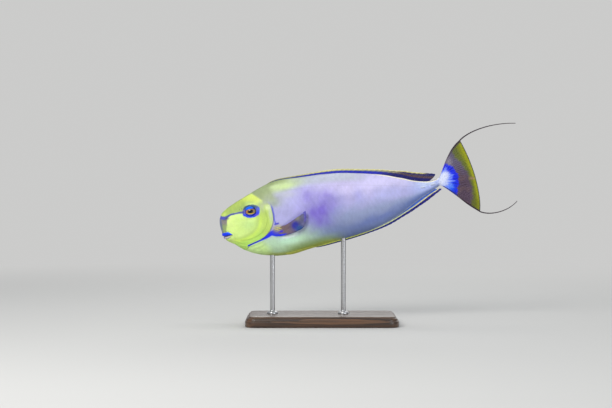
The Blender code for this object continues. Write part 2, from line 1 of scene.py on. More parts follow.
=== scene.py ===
"""Looks of the bignose unicornfish on its display stand.

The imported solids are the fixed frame.  One continuous skin replaces the solids
of the head, trunk and tail stalk; fins, eyes, bony plates and the stand are
finer pieces in the same places.  Fish coordinates are millimetres: s along the
body axis from the snout, h up from it, y across (negative is the fish's left).
"""

import math

import bpy
import numpy as np
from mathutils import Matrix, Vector

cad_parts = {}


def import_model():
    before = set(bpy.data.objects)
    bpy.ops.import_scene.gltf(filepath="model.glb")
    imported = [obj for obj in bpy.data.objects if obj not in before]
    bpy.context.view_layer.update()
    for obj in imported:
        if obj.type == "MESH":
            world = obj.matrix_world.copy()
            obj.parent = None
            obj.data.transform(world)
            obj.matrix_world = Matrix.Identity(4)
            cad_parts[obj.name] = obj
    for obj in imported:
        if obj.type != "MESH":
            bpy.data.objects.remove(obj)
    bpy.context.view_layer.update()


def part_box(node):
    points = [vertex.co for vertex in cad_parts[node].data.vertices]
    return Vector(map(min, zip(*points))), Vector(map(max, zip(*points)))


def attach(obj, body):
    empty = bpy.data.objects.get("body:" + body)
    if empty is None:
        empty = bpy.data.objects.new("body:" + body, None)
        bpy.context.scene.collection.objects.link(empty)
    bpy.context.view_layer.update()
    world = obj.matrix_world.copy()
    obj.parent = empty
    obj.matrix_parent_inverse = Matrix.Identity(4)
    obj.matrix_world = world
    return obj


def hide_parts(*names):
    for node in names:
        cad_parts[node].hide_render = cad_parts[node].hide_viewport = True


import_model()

rng = np.random.default_rng(20)

# --------------------------------------------------------------------------
# The body frame and its stations, as in the solids
# --------------------------------------------------------------------------
PITCH = math.radians(9.0)
AXIS_X, AXIS_Z = -0.175, 0.176
CP, SP = math.cos(PITCH), math.sin(PITCH)

STATIONS = np.array((
    # s, top, bottom, half width, widest height, section power
    (-0.9, -5.0, -5.0, 0.0, -5.0, 1.00),      # nose front
    (0.2, 4.6, -16.5, 4.6, -5.5, 1.00),       # nostril plane
    (2.4, 10.2, -27.0, 8.0, -6.5, 1.00),      # muzzle
    (5.8, 14.8, -32.6, 10.6, -8.0, 1.00),     # lip plane
    (17.0, 22.2, -40.4, 14.6, -9.5, 1.02),    # mouth corner
    (36.0, 31.2, -55.2, 19.2, -10.0, 1.05),   # cheek
    (56.0, 39.5, -65.0, 22.6, -8.0, 1.08),    # eye
    (76.0, 47.4, -70.4, 24.9, -6.0, 1.12),    # preopercle
    (92.0, 52.6, -73.4, 26.0, -4.0, 1.15),    # gill opening
    (112.0, 55.9, -74.0, 26.7, -2.0, 1.18),   # breast
    (148.0, 55.1, -69.0, 26.6, 0.0, 1.20),    # deepest flank
    (184.0, 54.2, -64.4, 25.4, 1.0, 1.22),    # mid body
    (218.0, 51.2, -60.7, 22.9, 2.0, 1.22),    # behind vent
    (252.0, 45.4, -54.9, 19.2, 2.0, 1.20),    # rear flank
    (288.0, 37.4, -44.6, 14.6, 2.0, 1.15),    # taper
    (320.0, 26.4, -29.6, 9.8, 2.0, 1.08),     # stalk start
    (346.0, 17.2, -15.6, 6.9, 3.0, 1.02),     # stalk
    (368.0, 13.7, -5.0, 5.2, 5.0, 1.00),      # narrow stalk
    (384.0, 16.4, 3.2, 3.4, 9.8, 1.00),       # tail base
))
NOSE_S, TAIL_S = STATIONS[0, 0], STATIONS[-1, 0]
ROOTS = np.sqrt(STATIONS[:, 0] - NOSE_S)

EYE_S, EYE_H = 55.6, 9.9
EYE_A, EYE_B = 10.0, 8.9                 # opening in the skin, half sizes
GILL_POINTS = ((77.0, 60.0), (86.0, 30.0), (90.2, 15.0), (92.0, 2.0), (91.2, -11.0),
               (87.0, -21.5), (79.5, -31.0), (66.0, -39.6), (41.0, -50.0), (30.0, -80.0))

CAUDAL_BASE_TOP, CAUDAL_BASE_LOW = (384.3, 16.2), (384.3, 3.4)
CAUDAL_UPPER = (CAUDAL_BASE_TOP, (394.5, 32.0), (403.0, 58.0), (429.5, 74.0))
CAUDAL_LOWER = (CAUDAL_BASE_LOW, (398.0, -6.0), (415.0, -28.0), (444.6, -52.0))
CAUDAL_REAR = ((444.6, -52.0), (452.0, -28.0), (447.0, 30.0), (429.5, 74.0))
STREAMER_UPPER = ((430.4, 75.2), (452.0, 90.0), (492.0, 95.0), (528.0, 88.2))
STREAMER_LOWER = ((445.5, -52.8), (462.0, -62.0), (492.0, -60.0),
                  (510.4, -44.2))
PEC_BASE = ((91.2, -38.2), (95.0, -23.2))
PEC_UPPER = ((95.0, -23.2), (112.0, -25.5), (127.0, -10.5), (148.5, -3.4))
PEC_LOWER = ((91.2, -38.2), (104.0, -41.2), (122.5, -38.8), (138.5, -32.4))
PEC_REAR = ((138.5, -32.4), (146.8, -26.5), (150.0, -12.5), (148.5, -3.4))
DORSAL_START, DORSAL_END, DORSAL_TIP = 84.0, 365.0, (378.4, 24.0)
DORSAL_HEIGHT = ((84.0, 1.0), (110.0, 1.8), (148.0, 3.4), (184.0, 5.2),
                 (216.0, 6.8), (252.0, 7.0), (276.0, 7.8), (305.0, 9.8),
                 (336.0, 14.4), (365.0, 15.0))
ANAL_START, ANAL_END, ANAL_TIP = 150.0, 372.0, (385.0, -4.6)
ANAL_HEIGHT = ((150.0, 1.2), (180.0, 3.2), (216.0, 3.2), (252.0, 3.8),
               (279.0, 5.2), (307.0, 6.6), (335.0, 9.4), (355.0, 10.2),
               (372.0, 8.2))
PLATES = (("front", 353.5, 4.6, 6.4, 3.6), ("rear", 371.5, 6.8, 6.0, 3.4))


# --------------------------------------------------------------------------
# Numeric helpers
# --------------------------------------------------------------------------
def smooth(v):
    v = np.clip(v, 0.0, 1.0)
    return v * v * (3.0 - 2.0 * v)


def pchip(xs, ys, x):
    """Monotone-limited cubic through (xs, ys), for arrays."""
    xs, ys, x = np.asarray(xs, float), np.asarray(ys, float), np.asarray(x, float)
    d = np.diff(xs)
    step = np.diff(ys) / d
    slope = np.zeros(len(xs))
    slope[0], slope[-1] = step[0], step[-1]
    for i in range(1, len(xs) - 1):
        if step[i - 1] * step[i] > 0.0:
            w1, w2 = 2 * d[i] + d[i - 1], d[i] + 2 * d[i - 1]
            slope[i] = (w1 + w2) / (w1 / step[i - 1] + w2 / step[i])
    x = np.clip(x, xs[0], xs[-1])
    i = np.clip(np.searchsorted(xs, x, side="right") - 1, 0, len(xs) - 2)
    t = (x - xs[i]) / d[i]
    return (ys[i] * (1 + 2 * t) * (1 - t) ** 2 + slope[i] * d[i] * t * (1 - t) ** 2
            + ys[i + 1] * t * t * (3 - 2 * t) + slope[i + 1] * d[i] * t * t * (t - 1))


def bezier(p, t):
    t = np.asarray(t, float)[..., None]
    p = np.asarray(p, float)
    return ((1 - t) ** 3 * p[0] + 3 * (1 - t) ** 2 * t * p[1]
            + 3 * (1 - t) * t * t * p[2] + t ** 3 * p[3])


def through(points, count):
    """Catmull-Rom samples through 2D points, evenly spaced along the curve."""
    p = np.asarray(points, float)
    p = np.vstack((2 * p[0] - p[1], p, 2 * p[-1] - p[-2]))
    n = len(p) - 3
    f = np.linspace(0, n, 60 * n + 1)
    i = np.minimum(f.astype(int), n - 1)
    t = (f - i)[:, None]
    a, b, c, d = p[i], p[i + 1], p[i + 2], p[i + 3]
    q = 0.5 * (2 * b + (c - a) * t + (2 * a - 5 * b + 4 * c - d) * t ** 2
               + (3 * b - a - 3 * c + d) * t ** 3)
    run = np.concatenate(([0], np.cumsum(np.hypot(*np.diff(q, axis=0).T))))
    want = np.linspace(0, run[-1], count)
    return np.stack((np.interp(want, run, q[:, 0]), np.interp(want, run, q[:, 1])), 1)


def near(curve, s, h):
    """Distance to a sampled curve, share along it, and side (+ is left of travel)."""
    curve = np.asarray(curve)
    shape = np.shape(s)
    s, h = np.ravel(s), np.ravel(h)
    best = np.full(s.shape, 1e9)
    share = np.zeros(s.shape)
    side = np.zeros(s.shape)
    n = len(curve) - 1
    for i in range(n):
        a, b = curve[i], curve[i + 1]
        ab = b - a
        t = np.clip(((s - a[0]) * ab[0] + (h - a[1]) * ab[1]) / (ab @ ab), 0, 1)
        ds, dh = s - (a[0] + ab[0] * t), h - (a[1] + ab[1] * t)
        dist = np.hypot(ds, dh)
        hit = dist < best
        best = np.where(hit, dist, best)
        share = np.where(hit, (i + t) / n, share)
        side = np.where(hit, np.sign(ab[0] * dh - ab[1] * ds), side)
    return best.reshape(shape), share.reshape(shape), side.reshape(shape)


def blob(s, h, cs, ch, rs, rh):
    return np.exp(-((s - cs) / rs) ** 2 - ((h - ch) / rh) ** 2)


WAVES = [(rng.normal(0, 1, 3), rng.uniform(0, 2 * math.pi)) for _ in range(24)]


def ripple(s, h, y, size, first=0, count=8):
    """Smooth random field of about unit size; features of the given size, mm."""
    out = 0.0
    for k, phase in WAVES[first:first + count]:
        out = out + np.sin((s * k[0] + h * k[1] + y * k[2]) / size * 1.6 + phase)
    return out / math.sqrt(count / 2.0)


# --------------------------------------------------------------------------
# Body functions
# --------------------------------------------------------------------------
_t = np.linspace(0, 1, 80)
UP_EDGE, LOW_EDGE = bezier(CAUDAL_UPPER, _t), bezier(CAUDAL_LOWER, _t)


def station(s):
    q = np.sqrt(np.maximum(np.asarray(s, float) - NOSE_S, 0.0))
    return [pchip(ROOTS, STATIONS[:, k], q) for k in range(1, 6)]


def section(s, angle):
    top, low, half, wide, power = station(s)
    c, n = np.cos(angle), np.sin(angle)
    h = wide + np.where(n > 0, top - wide, wide - low) * n
    y = np.sign(c) * np.abs(c) ** power * half
    return h, y


def flank(s, h):
    top, low, half, wide, power = station(s)
    reach = np.maximum(np.where(h > wide, top - wide, wide - low), 1e-6)
    n = np.clip(np.abs(h - wide) / reach, 0, 1)
    return half * np.sqrt(1 - n * n) ** power


def back(s):
    return station(s)[0]


def belly(s):
    return station(s)[1]


def world(s, h, y):
    s, h, y = np.broadcast_arrays(s, h, y)
    return np.stack((AXIS_X + (s * CP - h * SP) * 0.001, y * 0.001,
                     AXIS_Z + (s * SP + h * CP) * 0.001), -1)


# --------------------------------------------------------------------------
# Curves of the markings and relief, all in (s, h)
# --------------------------------------------------------------------------
GILL = through(GILL_POINTS, 90)
PREOPERCLE = through(((79.5, 20.0), (81.0, 4.6), (82.0, -9.5), (76.5, -22.6),
                      (68.4, -30.0), (57.0, -35.2), (42.7, -38.1), (24.0, -36.5)), 60)
MASK_LINE = through(((43.0, 10.2), (36.5, 10.6), (27.7, 10.2), (20.6, 9.6),
                     (15.1, 7.2), (9.6, 5.6), (4.5, 6.4), (0.8, 9.6)), 50)
GILL_BLUE = through(((42.6, -47.4), (53.8, -44.4), (62.8, -42.0), (72.1, -38.8),
                     (78.6, -36.0), (85.5, -32.2), (92.5, -30.6), (99.0, -33.8),
                     (107.0, -38.0), (116.0, -41.2)), 60)
GILL_UPPER_BLUE = through(((91.5, 18.0), (93.2, 8.0), (93.9, -2.0), (93.6, -10.0),
                           (94.6, -16.5)), 30)
LATERAL = through(((90.0, 31.0), (120.0, 35.5), (160.0, 35.0), (200.0, 32.0),
                   (250.0, 25.0), (300.0, 16.0), (345.0, 8.5), (380.0, 9.5)), 60)
CHEEK_RIM = through(((73.5, 6.0), (71.1, -3.5), (66.5, -18.7), (57.0, -28.7),
                     (44.5, -34.0), (29.7, -36.0), (15.5, -33.0)), 40)
SLIT = through(((-3.0, -26.2), (4.0, -26.0), (12.0, -25.2), (19.0, -24.6)), 20)
JAW_FOLD = through(((19.5, -22.0), (21.5, -26.0), (21.0, -31.0), (17.5, -35.5)), 16)
CHIN_FOLD = through(((9.0, -33.5), (18.0, -37.0), (30.0, -42.5), (42.0, -46.0)), 18)
THROAT_FOLD_1 = through(((38.0, -53.5), (52.0, -50.5), (66.0, -46.5), (78.0, -40.5)), 18)
THROAT_FOLD_2 = through(((44.0, -60.0), (58.0, -57.0), (72.0, -52.0)), 14)
NOSTRILS = ((37.2, 15.6, 0.75, 0.65, 1.1), (40.9, 16.4, 0.45, 0.95, 0.9))


def slit_height(s):
    return np.interp(s, SLIT[:, 0], SLIT[:, 1])


def mouth_taper(s):
    """1 at the front of the lips, 0 behind the mouth's corner."""
    return 1.0 - smooth((s - 11.0) / 8.6)


def eye_reach(s, h, a=EYE_A, b=EYE_B):
    return np.sqrt(((s - EYE_S) / a) ** 2 + ((h - EYE_H) / b) ** 2)


def relief(s, h, y):
    """How far the skin stands off the plain body surface, mm."""
    out = -0.22 + 0.10 * ripple(s, h, y, 16.0) + 0.04 * ripple(s, h, y, 5.0, 8)
    # orbit: a rolled rim, then a pit that the eyeball fills
    d = eye_reach(s, h)
    out = out + 0.65 * np.exp(-((d - 1.10) / 0.11) ** 2) - 0.22 * np.exp(-((d - 1.62) / 0.16) ** 2)
    out = np.where(d < 1.0, out - 6.8 * smooth((1.0 - d) / 0.32), out)
    # nostrils, a round one with a raised edge and a slit behind it
    for cs, ch, rs, rh, deep in NOSTRILS:
        r = np.sqrt(((s - cs) / rs) ** 2 + ((h - ch) / rh) ** 2)
        out = out - deep * np.exp(-(r / 1.0) ** 4) + 0.20 * np.exp(-((r - 1.6) / 0.5) ** 2)
    # lips and the mouth slit between them
    taper = mouth_taper(s)
    v = h - slit_height(s)
    tall = 6.6 * (0.12 + 0.88 * taper)
    low = 4.6 * (0.12 + 0.88 * taper)
    upper = np.clip(v / tall, 0, 1)
    lower = np.clip(-v / low, 0, 1)
    strength = np.clip(taper * 1.35, 0, 1)
    out = out + strength * np.where(v > 0, 1.25 * np.sin(math.pi * upper) ** 0.8, 0.0)
    out = out + strength * np.where(v < 0, 0.95 * np.sin(math.pi * lower) ** 0.8, 0.0)
    out = out - strength * 1.9 * np.exp(-(v / 0.75) ** 2)
    out = out - strength * 0.35 * np.exp(-((v - tall - 0.9) / 1.0) ** 2)
    out = out - strength * 0.45 * np.exp(-((v + low + 1.0) / 1.1) ** 2)
    # gill cover: stands proud, ends in a free edge with a shadow gap behind
    g, share, side = near(GILL, s, h)
    g = -g * side                        # in front of the edge is positive
    on = smooth((share - 0.27) / 0.05) * (1 - smooth((share - 0.80) / 0.06))
    front = np.where(g > 0, 1.15 * (1 - smooth(g / 22.0)), 0.0)
    behind = np.where(g <= 0, 1.15 * (1 - smooth(-g / 0.9)) - 0.75 * np.exp(-((g + 1.2) / 0.9) ** 2), 0.0)
    out = out + on * np.where(g > 0, front, behind)
    # preopercle: a low step with a groove
    p, share, side = near(PREOPERCLE, s, h)
    p = p * side
    ends = smooth(share / 0.12) * (1 - smooth((share - 0.82) / 0.18))
    out = out - ends * 0.50 * np.exp(-(p / 1.1) ** 2) + ends * 0.28 * np.exp(-((p + 2.6) / 1.8) ** 2)
    # bones round the eye and on the cheek
    out = out - 0.45 * blob(s, h, 45.0, -4.0, 16.0, 3.0) * (1 - np.exp(-(np.maximum(d - 1.2, 0) / 0.3) ** 2))
    out = out - 0.35 * blob(s, h, 22.0, -14.0, 10.0, 2.2)
    # fleshy root of the pectoral fin, a hollow in front of it and one under it
    out = out + 1.9 * blob(s, h, 95.5, -31.0, 5.5, 7.5) - 0.5 * blob(s, h, 104.0, -40.5, 9.0, 2.0)
    # folds: behind the mouth's corner, along the lower jaw, under the throat
    for curve, deep, wide in ((JAW_FOLD, 0.45, 0.9), (CHIN_FOLD, 0.35, 1.1),
                              (THROAT_FOLD_1, 0.26, 1.3), (THROAT_FOLD_2, 0.20, 1.3)):
        f, share, _ = near(curve, s, h)
        ends = smooth(share / 0.2) * smooth((1 - share) / 0.2)
        out = out - deep * ends * np.exp(-(f / wide) ** 2) + 0.5 * deep * ends * np.exp(-((f - 2.2 * wide) / wide) ** 2)
    # fine creases fanning out from the orbit
    ang = np.arctan2(h - EYE_H, s - EYE_S)
    out = out + 0.07 * np.sin(ang * 26 + 1.5 * np.sin(ang * 5)) * np.exp(-((d - 1.42) / 0.16) ** 2)
    # swelling of the jaw muscle and the cheek
    out = out + 0.8 * blob(s, h, 46.0, -18.0, 20.0, 14.0) + 0.5 * blob(s, h, 14.0, -12.0, 9.0, 7.0)
    # lateral line
    l, share, _ = near(LATERAL, s, h)
    out = out + 0.20 * np.exp(-(l / 0.8) ** 2) * smooth(share / 0.05)
    # mask line lies in a shallow furrow
    m, share, _ = near(MASK_LINE, s, h)
    out = out - 0.28 * np.exp(-(m / 1.3) ** 2) * (1 - smooth((d < 1.05) * 1.0))
    return out


# --------------------------------------------------------------------------
# Markings
# --------------------------------------------------------------------------
def rgb(*c):
    return np.array(c, float)


LIME = rgb(0.52, 0.68, 0.18)
CHEEK = rgb(0.66, 0.87, 0.27)
SNOUT = rgb(0.34, 0.48, 0.11)
CROWN = rgb(0.64, 0.77, 0.16)
CHIN = rgb(0.47, 0.75, 0.14)
COVER = rgb(0.49, 0.66, 0.14)
NAPE = rgb(0.50, 0.62, 0.30)
GREY_BAND = rgb(0.30, 0.37, 0.19)
NOSE_GREY = rgb(0.27, 0.36, 0.16)
NOSE_EDGE = rgb(0.13, 0.17, 0.29)
LAV = rgb(0.43, 0.42, 0.72)
LAV_TOP = rgb(0.56, 0.53, 0.80)
LAV_LOW = rgb(0.29, 0.34, 0.54)
VIOLET = rgb(0.19, 0.13, 0.58)
MINT = rgb(0.44, 0.62, 0.40)
BELLY = rgb(0.27, 0.38, 0.13)
BLUE_GREY = rgb(0.155, 0.205, 0.455)
STALK = rgb(0.42, 0.49, 0.85)
BLUE = rgb(0.0, 0.018, 0.82)
MASK_BLUE = rgb(0.045, 0.060, 0.35)
RING_BLUE = rgb(0.0, 0.030, 0.82)
RING_GREY = rgb(0.12, 0.12, 0.44)
DARK_BLUE = rgb(0.02, 0.025, 0.22)
CREAM = rgb(0.62, 0.62, 0.22)
LIP_LOW = rgb(0.50, 0.44, 0.54)


def over(col, new, k):
    return col + (np.asarray(new) - col) * np.asarray(k)[..., None]


def even(colour, like):
    return np.broadcast_to(colour, np.shape(like) + (3,)).copy()


def paint_trunk(s, h, y, u, drift):
    col = even(LAV, s)
    # paler high on the flank and darker low on the rear flank: partly the fish's own tones, partly painted light from
    # above and painted shade underneath
    col = over(col, LAV_TOP, smooth((u - 0.55 + 0.03 * drift) / 0.28) * smooth((s - 120) / 80))
    rear = smooth((s - 125.0) / 80.0)
    col = over(col, LAV_LOW, smooth((0.58 - u + 0.03 * drift) / 0.26) * smooth((s - 110) / 70))
    lower = over(even(MINT, s), BLUE_GREY, rear)
    col = over(col, lower, smooth((0.37 - u + 0.03 * drift - 0.02 * rear) / 0.22))
    # a darker patch low on the mid flank, partly painted shade of the underside
    col = over(col, rgb(0.20, 0.25, 0.41), 0.55 * blob(s, h, 195.0, -43.0, 30.0, 12.0))
    # pale, cool stretch of the rear flank; darker towards the stalk's underside, where painted shade is laid on further
    # down
    col = over(col, rgb(0.48, 0.50, 0.86), 0.50 * blob(s, h, 294.0, 3.0, 34.0, 11.0))
    col = over(col, rgb(0.62, 0.50, 0.78), 0.22 * blob(s, h, 225.0, 16.0, 9.0, 16.0))
    col = over(col, rgb(0.62, 0.50, 0.78), 0.20 * blob(s, h, 262.0, 10.0, 8.0, 14.0))
    col = over(col, rgb(0.34, 0.32, 0.76), 0.42 * blob(s, h, 242.0, 11.0, 7.0, 13.0))
    # belly: mint in front, brightest under the pectoral fin where a painted highlight lifts the fin's shadow; olive
    # along the keel line; dark behind, partly painted shade of the underside
    col = over(col, rgb(0.60, 0.90, 0.68), 0.80 * blob(s, h, 112.0, -48.5, 25.0, 8.0))
    col = over(col, BELLY, 0.95 * smooth((0.17 - u) / 0.12) * (1 - smooth((s - 165) / 60)) * smooth((s - 92) / 30))
    col = over(col, rgb(0.14, 0.19, 0.34), 0.55 * smooth((0.16 - u) / 0.12) * smooth((s - 175) / 60))
    # lime of the throat runs back under the gill cover
    lime = (1 - smooth((s - 66.0 + 0.5 * (h + 56)) / 20.0)) * smooth((-38.0 - h) / 8.0)
    col = over(col, rgb(0.52, 0.74, 0.52), 0.85 * blob(s, h, 80.0, -44.0, 16.0, 7.0))
    col = over(col, rgb(0.60, 0.84, 0.32), 0.95 * lime)
    col = over(col, rgb(0.40, 0.46, 0.07), 0.80 * smooth((0.070 - u) / 0.05) * smooth((s - 60) / 30) * (1 - smooth((s - 185) / 30)))
    # paler stretches high on the rear flank: partly the fish's own pale lavender, partly painted light from above
    col = over(col, rgb(0.64, 0.60, 0.88), 0.50 * blob(s, h, 262.0, 24.0, 60.0, 10.0))
    col = over(col, rgb(0.60, 0.53, 0.80), 0.30 * blob(s, h, 212.0, 30.0, 26.0, 12.0))
    # violet flush, in soft upright bars; the term at (156, -11) behind the pectoral fin's tip is painted shadow of the
    # fin
    bars = 0.5 + 0.5 * np.sin((s + 0.30 * h) * 0.36 + 1.2 * drift)
    violet_and_fin_shadow = (0.98 * blob(s, h, 171.0, -8.5, 18.0, 15.5) + 0.60 * blob(s, h, 156.0, 22.0, 14.0, 13.0)
             + 0.14 * blob(s, h, 143.0, -2.0, 15.0, 24.0) + 0.44 * blob(s, h, 194.0, 2.0, 18.0, 18.0)
             + 0.30 * blob(s, h, 156.0, -11.0, 6.0, 11.0) + 0.52 * blob(s, h, 173.0, -29.0, 20.0, 11.0) + 0.46 * blob(s, h, 185.0, 19.0, 16.0, 11.0))
    col = over(col, rgb(0.52, 0.48, 0.90), 0.45 * blob(s, h, 137.0, -1.0, 9.0, 10.0))
    col = over(col, VIOLET, np.clip(violet_and_fin_shadow * (0.84 + 0.16 * bars), 0, 0.92))
    col = over(col, STALK, smooth((s - 318.0) / 36.0) * smooth((u - 0.10) / 0.4) * 0.88)
    # painted highlight: a pale whitish-mint patch on the stalk
    col = over(col, rgb(0.66, 0.78, 0.84), 0.42 * blob(s, h, 362.0, 9.5, 16.0, 4.0))
    # the stalk's underside darker: painted shade, with some of the fish's own blue-grey
    col = over(col, rgb(0.13, 0.19, 0.44), 0.80 * smooth((s - 288) / 55) * smooth((0.42 - u) / 0.30))
    # the back: greyer along the top, yellow-green over the nape and shoulder
    col = over(col, rgb(0.44, 0.48, 0.54), 0.80 * smooth((u - 0.83) / 0.09) * smooth((s - 120) / 30) * (1 - smooth((s - 230) / 45)))
    nape = smooth((h - 23.0 - 0.16 * (s - 80)) / 14.0) * (1 - smooth((s - 116.0) / 58.0))
    col = over(col, NAPE, 0.95 * nape)
    col = over(col, rgb(0.60, 0.76, 0.34), 0.60 * blob(s, h, 121.0, 43.5, 17.0, 5.5))
    col = over(col, rgb(0.52, 0.55, 0.52), 0.50 * blob(s, h, 120.0, 29.0, 16.0, 6.0))
    col = over(col, rgb(0.32, 0.35, 0.37), 0.88 * np.clip(1.15 * blob(s, h, 99.0, 21.0, 16.0, 12.0), 0, 1))
    # the lit rim under the dorsal fin, and the dark edge over the nape
    rim = 1 - smooth((back(s) - h - 1.9) / 1.2)
    col = over(col, rgb(0.95, 0.90, 0.68), 0.95 * rim * smooth((s - 250) / 50) * smooth((388 - s) / 10))
    col = over(col, rgb(0.20, 0.26, 0.09), 0.75 * smooth((u - 0.93) / 0.05) * (1 - smooth((s - 104) / 40)))
    return col


def band_edge(h):
    """Where the yellow crown gives way to the olive band behind the head."""
    return 78.5 - 1.15 * np.maximum(h - 26.0, 0.0) + 0.25 * np.maximum(26.0 - h, 0.0)


def paint_head(s, h, y, u, fine, line_h):
    col = even(LIME, s)
    col = over(col, CHIN, smooth((-30.0 - h + 0.30 * (s - 30)) / 12.0))
    col = over(col, COVER, smooth((s - 66.0) / 10.0) * (1 - smooth((h - 4.0) / 14.0)))
    col = over(col, rgb(0.55, 0.62, 0.52), 0.75 * blob(s, h, 88.6, 1.0, 3.2, 17.0))
    # bright cheek, rounded off by a limier border along the preopercle
    q = np.sqrt((np.maximum(s - 30.0, 0) / 36.0) ** 2 + (np.maximum(-h - 6.0, 0) / 27.0) ** 2 + (np.maximum(12.0 - s, 0) / 9.0) ** 2)
    cheek = 1 - smooth((q - 0.78) / 0.30)
    col = over(col, CHEEK, 0.92 * cheek)
    col = over(col, rgb(0.46, 0.68, 0.26), 0.62 * blob(s, h, 50.0, -12.5, 13.0, 8.5))
    col = over(col, rgb(0.78, 0.97, 0.32), 0.65 * blob(s, h, 20.0, -8.0, 9.0, 12.0))
    rim, share, _ = near(CHEEK_RIM, s, h)
    ends = smooth(share / 0.15) * smooth((1 - share) / 0.12)
    col = over(col, rgb(0.62, 0.84, 0.13), 0.70 * ends * np.exp(-(rim / 3.2) ** 2))
    shade = near(CHEEK_RIM - (4.6, -3.2), s, h)[0]
    col = over(col, rgb(0.42, 0.62, 0.18), 0.35 * ends * np.exp(-(shade / 1.8) ** 2))
    above = smooth((h - line_h + 0.5) / 2.0)
    col = over(col, SNOUT, above * (1 - smooth((s - 44.0) / 12.0)))
    col = over(col, rgb(0.52, 0.66, 0.16), 0.85 * blob(s, h, 8.5, 11.0, 6.0, 4.0) * above)
    # yellow crown, ending in a lobe behind the eye, and the olive band behind it
    q = np.sqrt(((s - 62.0) / np.where(s < 62.0, 30.0, 17.5)) ** 2 + ((h - 31.5 + 0.30 * (s - 60)) / 9.0) ** 2)
    col = over(col, CROWN, (1 - smooth((q - 0.50) / np.where(s < 62.0, 0.60, 0.50))) * smooth((h - 17.0) / 6.0))
    col = over(col, rgb(0.54, 0.68, 0.12), 0.6 * blob(s, h, 45.0, 30.0, 12.0, 4.5))
    col = over(col, rgb(0.36, 0.54, 0.14), 0.65 * blob(s, h, 57.0, 25.5, 9.0, 3.0))
    col = over(col, rgb(0.70, 0.80, 0.15), 0.5 * blob(s, h, 66.0, 31.0, 8.0, 4.0))
    # olive behind the eye: painted shadow along the skin fold there
    col = over(col, rgb(0.33, 0.39, 0.18), 0.85 * blob(s, h, 75.5, 18.5, 4.5, 4.5))
    col = over(col, rgb(0.40, 0.48, 0.28), 0.72 * blob(s, h, 76.5, 13.0, 5.0, 7.0))
    band = smooth((s - band_edge(h)) / 6.0 + 0.5) * smooth((h - 15.0) / 4.0)
    col = over(col, GREY_BAND, 0.92 * band)
    col = over(col, rgb(0.44, 0.54, 0.20), 0.50 * blob(s, h, 76.0, 31.0, 5.0, 3.0))
    # a painted shadow along the fold's crease, then a painted highlight on the bulge of the gill cover
    col = over(col, rgb(0.36, 0.42, 0.26), 0.80 * blob(s, h, 83.5, 21.0, 4.5, 4.0))
    col = over(col, rgb(0.64, 0.77, 0.36), 0.85 * blob(s, h, 84.0, 12.0, 3.2, 4.0))
    # the crown darkens along the very top of the head
    col = over(col, rgb(0.50, 0.62, 0.15), 0.42 * smooth((u - 0.82) / 0.10) * smooth((48 - s) / 12))
    col = over(col, rgb(0.24, 0.30, 0.10), 0.55 * smooth((u - 0.97) / 0.03) * smooth((s - 10) / 20))
    # fine lime freckles
    col = over(col, rgb(0.44, 0.58, 0.12), 0.16 * smooth((fine - 0.2) / 0.9))
    return col


